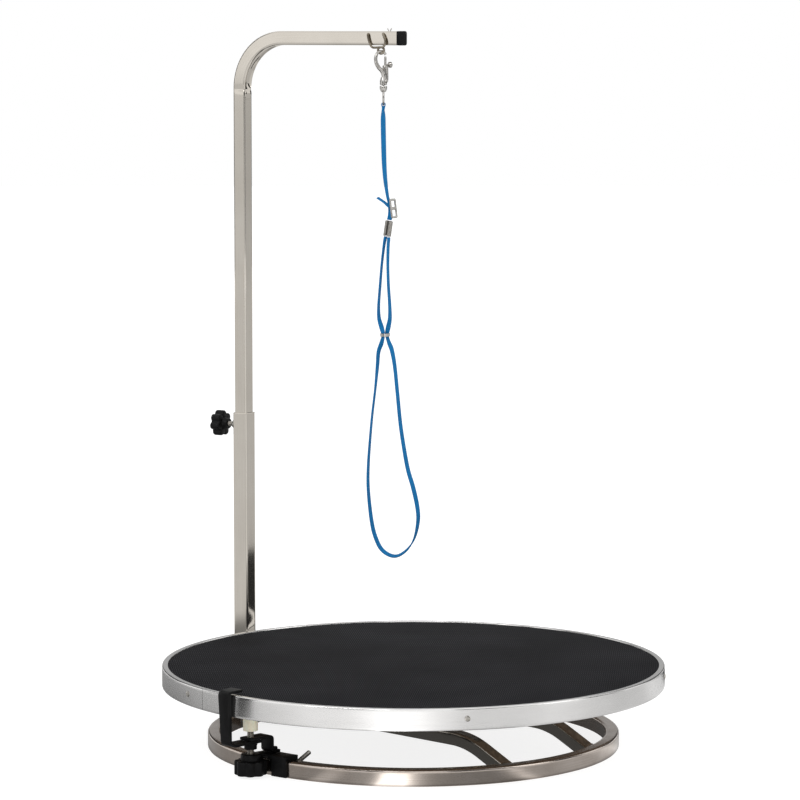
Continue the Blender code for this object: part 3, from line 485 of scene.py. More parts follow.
def piece(name, shape, material, place=None, sharp=38.0):
    bmesh.ops.recalc_face_normals(shape, faces=shape.faces)
    mesh = bpy.data.meshes.new(name)
    shape.to_mesh(mesh)
    shape.free()
    mesh.materials.append(material)
    mesh.shade_smooth()
    mesh.set_sharp_from_angle(angle=math.radians(sharp))
    obj = bpy.data.objects.new(name, mesh)
    bpy.context.scene.collection.objects.link(obj)
    if place is not None:
        mesh.transform(place)
    return obj


def stands_for(obj, body, slot, *names):
    """The piece rides on a CAD body and hides the CAD nodes it stands for. The slot is not used."""
    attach(obj, body)
    if names:
        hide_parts(*names)
    return obj


def circle(radius, z, steps, x=0.0):
    turns = [math.tau * k / steps for k in range(steps)]
    return [(x + radius * math.cos(a), radius * math.sin(a), z) for a in turns]


def turned(name, profile, steps, material, place=None, x=0.0, sharp=38.0):
    return surface(name, [circle(r, z, steps, x) for r, z in profile], material, place=place, sharp=sharp)


def hoop_rings(profile, steps, start=0.0, end=360.0, ends=False):
    rings = []
    for k in range(steps + 1 if ends else steps):
        a = math.radians(start + (end - start) * k / steps)
        rings.append([(r * math.cos(a), r * math.sin(a), z) for r, z in profile])
    return rings


def rounded(width, depth, radius, steps=5):
    points = []
    for quarter, (side_x, side_y) in enumerate(((1, 1), (-1, 1), (-1, -1), (1, -1))):
        for k in range(steps + 1):
            a = math.radians(90.0 * (quarter + k / steps))
            x = side_x * (width / 2 - radius) + radius * math.cos(a)
            y = side_y * (depth / 2 - radius) + radius * math.sin(a)
            points.append((x, y))
    return points


def tube_outline(width, depth, corner, steps=8, corner_steps=4):
    """A rounded rectangle with extra points along its sides, so that they shade as flat."""
    corners = rounded(width, depth, corner, corner_steps)
    points = []
    for a, b in zip(corners, [*corners[1:], corners[0]]):
        count = steps if (Vector(a) - Vector(b)).length > corner * 2 else 1
        points += [tuple(Vector(a).lerp(Vector(b), k / count)) for k in range(count)]
    return points


def along(path, sections):
    """Rings of a section carried along a path in the X-Z plane: one outline, or one for each point."""
    rings = []
    for i, point in enumerate(path):
        here = Vector(point)
        before = here - Vector(path[i - 1]) if i else Vector(path[1]) - here
        after = Vector(path[i + 1]) - here if i < len(path) - 1 else before
        way = (before.normalized() + after.normalized()).normalized()
        side = Vector((-way.y, way.x))
        outline = sections[i] if isinstance(sections[0], list) else sections
        rings.append([(here.x + side.x * a, b, here.y + side.y * a) for a, b in outline])
    return rings


def smooth_curve(route, steps):
    """Points on one smooth curve through a route, so many between each pair of its points."""
    knots = [Vector(point) for point in route]
    knots = [2 * knots[0] - knots[1], *knots, 2 * knots[-1] - knots[-2]]
    points = []
    for a, b, c, d in zip(knots, knots[1:], knots[2:], knots[3:]):
        for k in range(steps):
            t = k / steps
            bend = (2 * a - 5 * b + 4 * c - d) * t * t + (3 * b - a - 3 * c + d) * t * t * t
            points.append(b + 0.5 * ((c - a) * t + bend))
    points.append(knots[-2])
    return points


def even_points(points, spacing):
    """The same line with its points a fixed distance apart."""
    total = sum((b - a).length for a, b in zip(points, points[1:]))
    count = max(2, round(total / spacing))
    step = total / count
    kept = [points[0]]
    travelled = 0.0
    for a, b in zip(points, points[1:]):
        length = (b - a).length
        while len(kept) < count and travelled + length >= step * len(kept):
            kept.append(a.lerp(b, (step * len(kept) - travelled) / length))
        travelled += length
    kept.append(points[-1])
    return kept


def wire_rings(points, radii, sides, closed=False):
    count = len(points)
    ways = []
    for i in range(count):
        if closed:
            ways.append((points[(i + 1) % count] - points[i - 1]).normalized())
        else:
            ways.append((points[min(i + 1, count - 1)] - points[max(i - 1, 0)]).normalized())
    side = ways[0].orthogonal().normalized()
    rings = []
    for i, way in enumerate(ways):
        if i:
            side = ways[i - 1].rotation_difference(way) @ side
        side = (side - way * side.dot(way)).normalized()
        other = way.cross(side)
        ring = []
        for k in range(sides):
            a = math.tau * k / sides
            ring.append(points[i] + (side * math.cos(a) + other * math.sin(a)) * radii[i])
        rings.append(ring)
    return rings


def wire(name, points, radius, material, sides=16, closed=False, place=None):
    rings = wire_rings(points, [radius] * len(points), sides, closed)
    return surface(name, rings, material, closed, place)


def apply_modifiers(obj):
    bpy.context.view_layer.update()
    graph = bpy.context.evaluated_depsgraph_get()
    mesh = bpy.data.meshes.new_from_object(obj.evaluated_get(graph))
    obj.modifiers.clear()
    obj.data = mesh
    return obj


def round_edges(obj, width, segments, limit, sharp):
    """Bevels the edges that turn by more than the limit, and shades smooth up to the sharp angle."""
    bevel = obj.modifiers.new("edges", "BEVEL")
    bevel.width = width
    bevel.segments = segments
    bevel.limit_method = "ANGLE"
    bevel.angle_limit = math.radians(limit)
    apply_modifiers(obj)
    obj.data.shade_smooth()
    obj.data.set_sharp_from_angle(angle=math.radians(sharp))


def combine(target, tools, operation):
    for tool in tools:
        modifier = target.modifiers.new("combine", "BOOLEAN")
        modifier.operation = operation
        modifier.object = tool
    apply_modifiers(target)
    for tool in tools:
        bpy.data.objects.remove(tool)
    return target


def cast(obj, voxel, passes):
    """Melts joined shapes into one cast body with soft inner corners."""
    remesh = obj.modifiers.new("remesh", "REMESH")
    remesh.mode = "VOXEL"
    remesh.voxel_size = voxel
    smooth = obj.modifiers.new("smooth", "SMOOTH")
    smooth.iterations = passes
    smooth.factor = 0.5
    apply_modifiers(obj)
    obj.data.shade_smooth()
    return obj


# Turning top

RIM_FLANGE = 0.0045
RIM_ROUND = 0.0016
SEAM_GAP = 0.055


def rim_trim():
    wall = TOP_RADIUS - RIM_WALL
    low = TOP_HEIGHT - RIM_HEIGHT
    flange = wall - RIM_FLANGE
    profile = [(flange, low + 0.0001), (TOP_RADIUS - 0.0009, low), (TOP_RADIUS - 0.0002, low + 0.0004)]
    face = RIM_HEIGHT - 0.0010 - RIM_ROUND
    profile += [(TOP_RADIUS, low + 0.0010 + face * k / 11) for k in range(11)]
    for x, z, _ in circle(RIM_ROUND, 0.0, 24)[:7]:
        profile.append((TOP_RADIUS - RIM_ROUND + x, TOP_HEIGHT - RIM_ROUND + z))
    profile += [
        (TOP_RADIUS - RIM_LIP + 0.0006, TOP_HEIGHT),
        (TOP_RADIUS - RIM_LIP + 0.0002, TOP_HEIGHT - 0.0001),
        (TOP_RADIUS - RIM_LIP, TOP_HEIGHT - 0.0004),
        (TOP_RADIUS - RIM_LIP, TOP_HEIGHT - RIM_LIP_THICKNESS),
        (wall, TOP_HEIGHT - RIM_LIP_THICKNESS),
        (wall, low + 0.0013),
        (flange, low + 0.0013),
    ]
    rings = hoop_rings(profile, 288, SEAM_ANGLE + SEAM_GAP, SEAM_ANGLE + 360.0 - SEAM_GAP, ends=True)
    trim = surface("edging", rings, ALUMINIUM)
    stands_for(trim, "top", "brushed_aluminium", "rim_trim")


def rubber_mat():
    edge = TOP_RADIUS - RIM_WALL - 0.0005
    lip = TOP_RADIUS - RIM_LIP
    under = TOP_HEIGHT - RIM_LIP_THICKNESS - 0.0003
    profile = [(edge, MAT_LOW), (edge, under), (lip, under)]
    profile += [(lip - 0.0007, MAT_HIGH - 0.0001), (lip - 0.0014, MAT_HIGH)]
    mat = turned("ribbed_mat", profile, 288, MAT)
    stands_for(mat, "top", "black_rubber", "rubber_mat")


def screw_head(name, radius, height, place, material):
    """A domed head with a cross recess, as a fine polar grid."""
    rings = [circle(radius * 0.52, -0.004, 48), circle(radius * 0.52, 0.0003, 48), circle(radius, 0.0003, 48)]
    turn = math.radians(20.0)
    arm = radius * 0.52
    slot = radius * 0.15
    for share in (1.0, 0.97, 0.9, 0.8, 0.7, 0.6, 0.5, 0.42, 0.34, 0.26, 0.18, 0.1, 0.04):
        ring = []
        for x, y, _ in circle(radius * share, 0.0, 48):
            z = 0.0003 + (height - 0.0003) * math.sqrt(max(0.0, 1.0 - (share * 0.93) ** 2))
            along_x = abs(x * math.cos(turn) + y * math.sin(turn))
            along_y = abs(y * math.cos(turn) - x * math.sin(turn))
            if min(along_x, along_y) < slot and max(along_x, along_y) < arm:
                z -= height * 0.62
            ring.append((x, y, z))
        rings.append(ring)
    return surface(name, rings, material, place=place, sharp=50.0)


def rim_screws():
    for k in range(RIM_SCREWS):
        place = polar(TOP_RADIUS, RIM_SCREW_START + 360.0 / RIM_SCREWS * k, RIM_SCREW_HEIGHT, 90.0)
        head = screw_head(f"edging_screw_{k + 1}", 0.0033, 0.0013, place, THREAD)
        stands_for(head, "top", "chrome", f"rim_screw_{k + 1}")


# Base frame


def base_ring():
    centre = BASE_RADIUS - RING_WIDTH / 2
    outline = [(centre + x, RING_HEIGHT / 2 + z) for x, z in tube_outline(RING_WIDTH, RING_HEIGHT, 0.0031)]
    ring = surface("ring_tube", hoop_rings(outline, 240), RING_STEEL, closed=True)
    stands_for(ring, "base", "polished_steel", "base_ring")


def rail_path(reach):
    slope = math.radians(RAIL_BEND_ANGLE)
    path = [(0.0, RAIL_CENTRE_HEIGHT)]
    for k in range(13):
        a = slope * k / 12
        x = RAIL_BEND_START + RAIL_BEND_RADIUS * math.sin(a)
        path.append((x, RAIL_CENTRE_HEIGHT - RAIL_BEND_RADIUS * (1 - math.cos(a))))
    x, z = path[-1]
    path.append((reach, z - (reach - x) * math.tan(slope)))
    return path


def rails():
    """Each rail ends in the ring's inner face, inside a rippled bead of weld."""
    for name, sign in (("left", -1), ("right", 1)):
        node = f"rail_{name}"
        offset = sign * RAIL_OFFSET
        reach = math.sqrt((BASE_RADIUS - RING_WIDTH) ** 2 - (abs(offset) - RAIL_SIZE / 2) ** 2) + 0.0006
        half = rail_path(reach)
        path = [(-x, z) for x, z in half[:0:-1]] + half
        place = place_at(yaw=RAIL_YAW) @ Matrix.Translation((0.0, offset, 0.0))
        rings = along(path, tube_outline(RAIL_SIZE, RAIL_SIZE, 0.0022))
        rail = surface(f"{name}_rail_tube", rings, STEEL, place=place)
        stands_for(rail, "base", "polished_steel", node)
        for end, side in (("front", 1), ("back", -1)):
            weld_bead(f"{node}_weld_{end}", offset, side, half)


def weld_bead(name, offset, side, half):
    """A bead round the end of a rail, where it meets the ring."""
    slope = math.tan(math.radians(RAIL_BEND_ANGLE))
    last_x, last_z = half[-1]
    points = []
    for a, b in rounded(RAIL_SIZE + 0.0006, RAIL_SIZE + 0.0006, 0.0026):
        y = offset + b
        x = math.sqrt((BASE_RADIUS - RING_WIDTH) ** 2 - y * y)
        z = last_z + (last_x - x) * slope + a * 1.09
        points.append(Vector((side * x, y, min(max(z, 0.0022), RING_HEIGHT - 0.0012))))
    points = even_points([*points, points[0]], 0.0009)[:-1]
    radii = []
    for i in range(len(points)):
        radii.append(0.0010 + 0.00022 * math.sin(2.1 * i) + 0.00008 * math.sin(0.7 * i + 1.0))
    rings = wire_rings(points, radii, 8, closed=True)
    bead = surface(name, rings, DARK_STEEL, closed=True, place=place_at(yaw=RAIL_YAW))
    stands_for(bead, "base", "polished_steel")


# Top lock


def threaded(name, radius, low, high, pitch, place, material=None, sides=32):
    """A screw thread: each ring's radius follows the helix, and both ends are chamfered."""
    depth = 0.54 * pitch
    step = pitch / 8
    rings = []
    for k in range(round((high - low) / step) + 1):
        z = low + k * step
        from_end = min(z - low, high - z)
        ring = []
        for m in range(sides):
            turn = z / pitch - m / sides
            wave = abs(2.0 * (turn - math.floor(turn)) - 1.0)
            reach = radius - depth * min(1.0, max(0.0, 1.25 * wave - 0.12))
            reach = min(reach, radius - depth + from_end)
            a = math.tau * m / sides
            ring.append((reach * math.cos(a), reach * math.sin(a), z))
        rings.append(ring)
    return surface(name, rings, material or THREAD, place=place, sharp=60.0)


def lobed(radius, depth, lobes, steps_each):
    """A star knob's outline: broad round lobes with narrower hollows between them."""
    points = []
    for k in range(lobes * steps_each):
        a = math.tau * k / (lobes * steps_each)
        dip = (0.5 - 0.5 * math.cos(lobes * a)) ** 1.6
        points.append((a, radius - depth * dip))
    return points


def knob_rings(outline, layers):
    """Layers of (height, inset): the outline moved inward by an inset at each height."""
    rings = []
    for z, inset in layers:
        rings.append([((r - inset) * math.cos(a), (r - inset) * math.sin(a), z) for a, r in outline])
    return rings


def round_layers(low, high, radius):
    """The heights and insets of a slab whose upper and lower edges are rounded."""
    layers = []
    for k in range(5):
        a = math.radians(90.0 * k / 4)
        layers.append((low + radius * (1 - math.sin(a)), radius * (1 - math.cos(a))))
    layers = layers[::-1]
    return layers + [(low + high - z, inset) for z, inset in layers[::-1]]


def lock_screw():
    thread = threaded("lock_thread", 0.0040, 0.0110, 0.0640, 0.00125, LOCK)
    stands_for(thread, "lock_screw", "chrome", "lock_screw")
    outline = lobed(0.0188, 0.0026, 8, 14)
    hub = [(a, 0.0118) for a, _ in outline]
    layers = [(0.0029, 0.0060), *round_layers(0.0029, 0.0198, 0.0018), (0.0199, 0.0052)]
    rings = knob_rings(outline, layers)
    hub_layers = [(0.0202, 0.0), (0.0262, 0.0004), (0.0269, 0.0008), (0.0273, 0.0018), (0.0273, 0.0076)]
    rings += knob_rings(hub, [*hub_layers, (0.0200, 0.0076)])
    knob = surface("lock_star_knob", rings, PLASTIC, place=LOCK, sharp=42.0)
    stands_for(knob, "lock_screw", "black_plastic", "lock_knob")


def lock_tip():
    profile = [(0.0043, 0.0545), (0.0046, 0.0540), (0.0078, 0.0540), (0.0083, 0.0542), (0.0085, 0.0547)]
    profile += [(0.0085, 0.0725), (0.0083, 0.0733), (0.0078, 0.0738), (0.0070, 0.0740)]
    rings = [circle(r, z, 64) for r, z in [(0.0043, 0.0640), *profile]]
    tip = surface("nylon_tip", rings, NYLON, place=LOCK)
    stands_for(tip, "lock_tip", "white_nylon", "lock_tip")


def clamp_stud():
    place = polar(SADDLE_INNER, STUD_ANGLE, 0.012, STUD_TILT)
    stud = threaded("saddle_stud", 0.0027, -0.0014, 0.0300, 0.0008, place, CHROME, 24)
    stands_for(stud, "clamp_stud", "chrome", "clamp_stud")


# Arm


def post_sleeve():
    """The fixed tube: open at the top, where the arm slides in, with its lip rounded over."""
    outer = tube_outline(SLEEVE_SIZE, SLEEVE_SIZE, 0.0014)
    bore = SLEEVE_SIZE - 2 * TUBE_WALL
    inner = tube_outline(bore, bore, 0.0018)
    rings = [[(x, y, z) for x, y in inner] for z in (SLEEVE_LOW, SLEEVE_TOP - 0.0004)]
    lip = tube_outline(SLEEVE_SIZE - 0.0007, SLEEVE_SIZE - 0.0007, 0.0012)
    rings.append([(x, y, SLEEVE_TOP) for x, y in lip])
    levels = (SLEEVE_TOP - 0.0005, SLEEVE_TOP - 0.0012, SLEEVE_TOP - 0.003, SLEEVE_LOW + 0.003, SLEEVE_LOW)
    rings += [[(x, y, z) for x, y in outer] for z in levels]
    sleeve = surface("sleeve_tube", rings, STEEL, closed=True, place=POST)
    stands_for(sleeve, "post", "polished_steel", "post_sleeve")


def arm_path():
    """Points up the arm and over its bend, with how far each is past the start of the bend."""
    turn = math.pi / 2 * ARM_BEND_RADIUS
    height = ARM_TOP - ARM_SIZE / 2
    points = [(0.0, ARM_BOTTOM)]
    pasts = [-1.0]
    for k in range(101):
        past = -0.016 + (turn + 0.032) * k / 100
        a = min(max(past, 0.0), turn) / ARM_BEND_RADIUS
        x = ARM_BEND_RADIUS * (1.0 - math.cos(a)) + max(past - turn, 0.0)
        z = height - ARM_BEND_RADIUS * (1.0 - math.sin(a)) + min(past, 0.0)
        points.append((x, z))
        pasts.append(past)
    return points + [(ARM_REACH, height)], pasts + [1.0]


def hump(past, centre, width):
    return math.exp(-(((past - centre) / width) ** 2))


def step_up(past, low, high):
    share = min(max((past - low) / (high - low), 0.0), 1.0)
    return share * share * (3.0 - 2.0 * share)


def upper_arm():
    """The bent tube. Its inner wall has sunk in round the bend and puckered where the bend starts."""
    path, pasts = arm_path()
    turn = math.pi / 2 * ARM_BEND_RADIUS
    half = ARM_SIZE / 2
    sections = []
    for past in pasts:
        sunk = 0.0022 * step_up(past, -0.001, 0.007) * step_up(turn + 0.004 - past, 0.0, 0.026)
        pucker = 0.0012 * hump(past, -0.0062, 0.0036) - 0.0009 * hump(past, 0.0014, 0.0030)
        crease = 0.0013 * hump(past, -0.0010, 0.0026)
        outline = []
        for a, b in tube_outline(ARM_SIZE, ARM_SIZE, 0.0018, 10):
            inner = max(0.0, -a / half)
            window = max(0.0, 1.0 - (b / (0.86 * half)) ** 2)
            pressed = crease * (0.5 - 0.5 * a / half) * (1.0 - window)
            shift = (sunk * window - pucker * window**0.5) * inner**3
            outline.append((a + shift, b - math.copysign(pressed, b)))
        sections.append(outline)
    rings = along(path, sections)
    mouth = tube_outline(ARM_SIZE - 2 * TUBE_WALL, ARM_SIZE - 2 * TUBE_WALL, 0.0010, 10)
    inside = along([path[-1], (path[-1][0] - 0.004, path[-1][1])], mouth)
    arm = surface("arm_tube", rings + inside[:1], STEEL, place=POST)
    stands_for(arm, "arm", "polished_steel", "upper_arm")


def star_knob(name, body, node, place, start):
    """A seven-lobed plastic knob on a waisted hub."""
    outline = lobed(0.0162, 0.0034, 7, 14)
    hub = [(a, 0.0066) for a, _ in outline]
    waist = [(0.0, 0.0022), (0.0, 0.0005), (0.0006, 0.0), (0.0035, -0.0002), (0.0055, -0.0012)]
    rings = knob_rings(hub, [(start + z, inset) for z, inset in waist])
    layers = [(0.0061, 0.0052), *round_layers(0.0063, 0.0190, 0.0022)]
    layers += [(0.0190, 0.0050), (0.0186, 0.0062), (0.0184, 0.0090)]
    rings += knob_rings(outline, [(start + z, inset) for z, inset in layers])
    knob = surface(name, rings, PLASTIC, place=place, sharp=42.0)
    stands_for(knob, body, "black_plastic", node)


def knobs():
    side = side_place(ARM_KNOB_HEIGHT)
    screw = threaded("arm_thread", 0.0030, 0.0103, 0.0300, 0.0010, side, sides=24)
    stands_for(screw, "arm_knob", "chrome", "arm_screw")
    star_knob("arm_star_knob", "arm_knob", "arm_knob", side, 0.0227)
    side = side_place(SOCKET_KNOB_HEIGHT)
    screw = threaded("socket_thread", 0.0030, 0.0119, 0.0280, 0.0010, side, sides=24)
    stands_for(screw, "socket_knob", "chrome")
    star_knob("socket_star_knob", "socket_knob", "socket_knob", side, 0.0200)


# Hanger, snap hook and swivel

PIN_X = 0.2145
HANGER_ROUTE = [
    (0.1898, -0.0045, 0.8465),
    (0.1898, -0.0085, 0.8465),
    (0.1898, -0.0097, 0.8461),
    (0.1900, -0.0102, 0.8448),
    (0.1912, -0.0102, 0.8395),
    (0.1935, -0.0102, 0.8338),
    (0.1958, -0.0100, 0.8309),
    (0.1992, -0.0093, 0.8302),
    (0.2040, -0.0088, 0.8305),
]
HANGER_END = [
    (0.2128, -0.0115, 0.8313),
    (0.2148, -0.0112, 0.8345),
    (0.2147, -0.0105, 0.8392),
    (0.2125, -0.0102, 0.8445),
    (0.2114, -0.0099, 0.8463),
    (0.2110, -0.0086, 0.8471),
    (0.2110, -0.0045, 0.8472),
]


def wire_hanger():
    eye = []
    for k in range(17):
        a = math.radians(90.0 - 22.5 * k)
        x = EYE_X + EYE_RADIUS * math.cos(a)
        z = EYE_Z + EYE_RADIUS * math.sin(a)
        eye.append((x, EYE_Y + 0.0014 - 0.0028 * k / 16, z))
    points = smooth_curve([*HANGER_ROUTE, *eye, *HANGER_END], 5)
    hanger = wire("hanger_wire", points, WIRE_RADIUS, BRONZED, 16, place=POST)
    stands_for(hanger, "arm", "chrome", "wire_hanger")


def split_pin():
    half = [(0.0029, 0.8533), (0.0016, 0.8513), (0.0009, 0.8490), (0.0009, 0.8462)]
    turn = [(0.0009 * math.cos(a), 0.8455 - 0.0009 * math.sin(a)) for a in (0.0, math.pi / 2, math.pi)]
    route = [(-x, z) for x, z in half] + [(-x, z) for x, z in turn] + half[::-1]
    points = smooth_curve([(PIN_X + x, 0.0, z) for x, z in route], 4)
    pin = wire("hair_pin", points, 0.0006, CHROME, 12, place=POST)
    stands_for(pin, "arm", "chrome", "split_pin")


def snap_body():
    route = [
        (0.0042, -0.0345, 0.0025),
        (0.0040, -0.0290, 0.0026),
        (0.0031, -0.0245, 0.0026),
        (0.0008, -0.0205, 0.0025),
        (-0.0030, -0.0170, 0.0024),
        (-0.0061, -0.0125, 0.0023),
        (-0.0074, -0.0075, 0.0021),
        (-0.0068, -0.0025, 0.0019),
        (-0.0046, 0.0012, 0.0017),
        (-0.0013, 0.0029, 0.0014),
        (0.0020, 0.0027, 0.0014),
        (0.0048, 0.0008, 0.0016),
        (0.0062, -0.0012, 0.0017),
    ]
    curve = smooth_curve([(x, radius, z) for x, z, radius in route], 6)
    points = [Vector((p.x, 0.0, p.z)) for p in curve]
    body = surface("snap_casting", wire_rings(points, [p.y for p in curve], 20), CHROME)
    barrel = [(0.0026, -0.0348), (0.0033, -0.0335), (0.0037, -0.0310), (0.0034, -0.0150), (0.0030, -0.0142)]
    collar = [(0.0036, -0.0378), (0.0042, -0.0373), (0.0043, -0.0325), (0.0037, -0.0310), (0.0030, -0.0285)]
    cast(body, 0.00028, 3)
    added = [turned("barrel", barrel, 32, CHROME, x=BARREL_X)]
    added.append(turned("collar", collar, 32, CHROME, x=SWIVEL_OFFSET))
    combine(body, added, "UNION")
    bore = turned("bore", [(0.0018, -0.0300), (0.0018, -0.0100)], 24, CHROME, x=BARREL_X)
    slot = surface("slot", box_rings(BARREL_X + 0.0030, 0.0060, 0.0024, -0.0240, -0.0100), CHROME)
    window = surface("window", box_rings(SWIVEL_OFFSET, 0.0060, 0.0160, -0.0362, -0.0326), CHROME)
    hole = turned("hole", [(0.0017, -0.0400), (0.0017, -0.0350)], 24, CHROME, x=SWIVEL_OFFSET)
    combine(body, [bore, slot, window, hole], "DIFFERENCE")
    body.data.shade_smooth()
    body.data.set_sharp_from_angle(angle=math.radians(40.0))
    body.data.transform(SNAP)
    stands_for(body, "snap", "chrome", "snap_body")


def box_rings(centre, width, depth, low, high):
    """A box from one height to another, its middle at the given X."""
    corners = [(centre + a * width / 2, b * depth / 2) for a, b in ((-1, -1), (1, -1), (1, 1), (-1, 1))]
    return [[(x, y, z) for x, y in corners] for z in (low, high)]


def snap_bolt():
    """The sprung bolt: a rod with a rounded nose, a stem and a ridged thumb button."""
    rod = [(0.0010, -0.0215), (0.0014, -0.0212), (0.0014, -0.0043)]
    rod += [(0.0012, -0.0037), (0.0008, -0.0034), (0.0003, -0.0033)]
    bolt = turned("snap_plunger", rod, 24, CHROME, x=BARREL_X)
    stem = place_at(BARREL_X, 0.0, -0.0135, 0.0, 90.0)
    button = [(0.0009, 0.0), (0.0009, 0.0042), (0.0026, 0.0044), (0.0034, 0.0050)]
    for k in range(3):
        button += [(0.0036, 0.0053 + 0.0008 * k), (0.0032, 0.0057 + 0.0008 * k)]
    button += [(0.0036, 0.0077), (0.0030, 0.0083), (0.0018, 0.0086)]
    combine(bolt, [turned("button", button, 28, CHROME, stem, sharp=30.0)], "UNION")
    bolt.data.transform(SNAP)
    stands_for(bolt, "snap_bolt", "chrome", "snap_bolt")


def swivel():
    cup = [
        (0.0020, -0.0464),
        (0.0034, -0.0452),
        (0.0042, -0.0434),
        (0.0045, -0.0405),
        (0.0044, -0.0393),
        (0.0040, -0.0388),
        (0.0013, -0.0388),
        (0.0013, -0.0356),
        (0.0024, -0.0354),
        (0.0024, -0.0338),
        (0.0016, -0.0333),
    ]
    cup_piece = turned("swivel_cup", cup, 40, CHROME)
    points = [Vector((0.0066 * x, 0.0, -0.0530 + 0.0082 * z)) for x, z, _ in circle(1.0, 0.0, 64)]
    ring = wire("swivel_eye", points, 0.0012, CHROME, 16, closed=True)
    combine(cup_piece, [ring], "UNION")
    cup_piece.data.transform(SWIVEL)
    stands_for(cup_piece, "noose", "chrome", "swivel_ring")


# Noose: routes in its own frame, X along the arm, Y away from the front, Z up from the floor

LEAD_ROUTE = [
    (-0.0005, 0.0, 0.7602),
    (-0.0004, 0.0, 0.7450),
    (-0.0002, 0.0, 0.7310),
    (0.0004, 0.0, 0.7070),
    (0.0011, 0.0, 0.6890),
    (0.0026, 0.0, 0.6710),
    (0.0053, 0.0003, 0.6525),
    (0.0076, 0.0008, 0.6430),
    (0.0089, 0.0010, 0.6350),
    (0.0091, 0.0006, 0.6285),
    (0.0083, 0.0, 0.6223),
]
LEAD_TWIST = [-31.0, 38.0, 48.0, 40.0, 30.0, 15.0, -2.0, 0.0, 15.0, 30.0, 40.0]
TAIL_ROUTE = [
    (0.0110, -0.0040, 0.6385),
    (0.0092, -0.0046, 0.6400),
    (0.0040, -0.0048, 0.6440),
    (-0.0053, -0.0050, 0.6492),
]
TAIL_TWIST = [-20.0, -15.0, -10.0, -10.0]
LEFT_STRAND = [
    (0.0029, 0.0, 0.6021),
    (0.0019, 0.0, 0.5975),
    (0.0004, 0.0, 0.5890),
    (-0.0025, 0.0, 0.5673),
    (-0.0048, 0.0, 0.5429),
    (-0.0069, 0.0, 0.5184),
    (-0.0062, -0.0004, 0.5026),
    (-0.0018, -0.0018, 0.4915),
    (0.0010, -0.0025, 0.4823),
]
LEFT_TWIST = [20.0, 10.0, -5.0, -10.0, -8.0, -5.0, 10.0, 40.0, 60.0]
LOOP = [
    (0.0010, -0.0025, 0.4823),
    (-0.0018, -0.0020, 0.4720),
    (-0.0066, -0.0010, 0.4610),
    (-0.0088, 0.0, 0.4438),
    (-0.0119, 0.0, 0.4154),
    (-0.0163, 0.0, 0.3832),
    (-0.0194, 0.0, 0.3535),
    (-0.0220, 0.0, 0.3212),
    (-0.0222, 0.0, 0.2928),
    (-0.0182, 0.0, 0.2573),
    (-0.0125, 0.0, 0.2345),
    (-0.0020, 0.0, 0.2175),
    (0.0155, 0.0, 0.2112),
    (0.0317, 0.0, 0.2190),
    (0.0437, 0.0, 0.2347),
    (0.0492, 0.0, 0.2565),
    (0.0482, 0.0, 0.2743),
    (0.0424, 0.0, 0.2972),
    (0.0350, 0.0, 0.3187),
    (0.0296, 0.0, 0.3429),
    (0.0241, 0.0, 0.3745),
    (0.0198, 0.0, 0.4121),
    (0.0158, 0.0002, 0.4450),
    (0.0112, 0.0010, 0.4640),
    (0.0063, 0.0020, 0.4735),
    (0.0034, 0.0025, 0.4823),
]
LOOP_TWIST = [
    60.0, 40.0, 15.0, 5.0, -12.0, -12.0, -10.0, -5.0, 0.0, 10.0, 18.0, 22.0, 28.0, 34.0,
    12.0, -12.0, -22.0, -26.0, -20.0, -14.0, -10.0, -8.0, -10.0, -25.0, -45.0, -60.0,
]
RIGHT_STRAND = [
    (0.0034, 0.0025, 0.4823),
    (0.0060, 0.0015, 0.4925),
    (0.0088, 0.0004, 0.5032),
    (0.0088, 0.0, 0.5191),
    (0.0070, 0.0, 0.5433),
    (0.0062, 0.0, 0.5676),
    (0.0066, 0.0, 0.5895),
    (0.0073, 0.0, 0.5975),
    (0.0074, 0.0, 0.6013),
]
KEEPER_REACH = 0.124
RIGHT_TWIST = [-60.0, -40.0, -15.0, 0.0, 5.0, 5.0, 0.0, -10.0, -15.0]


def strap_outline(width, thickness, points=5):
    """A flat strap's section: (across, through) with rounded edges and a shallow middle."""
    outline = []
    edge = thickness / 2
    half = width / 2 - edge
    for side in (1, -1):
        for k in range(points + 1):
            a = math.radians(-90.0 + 180.0 * k / points)
            outline.append((side * (half + edge * math.cos(a)), side * edge * math.sin(a)))
        outline.append((side * half * 0.35, side * edge * 0.86))
        outline.append((-side * half * 0.35, side * edge * 0.86))
    return outline


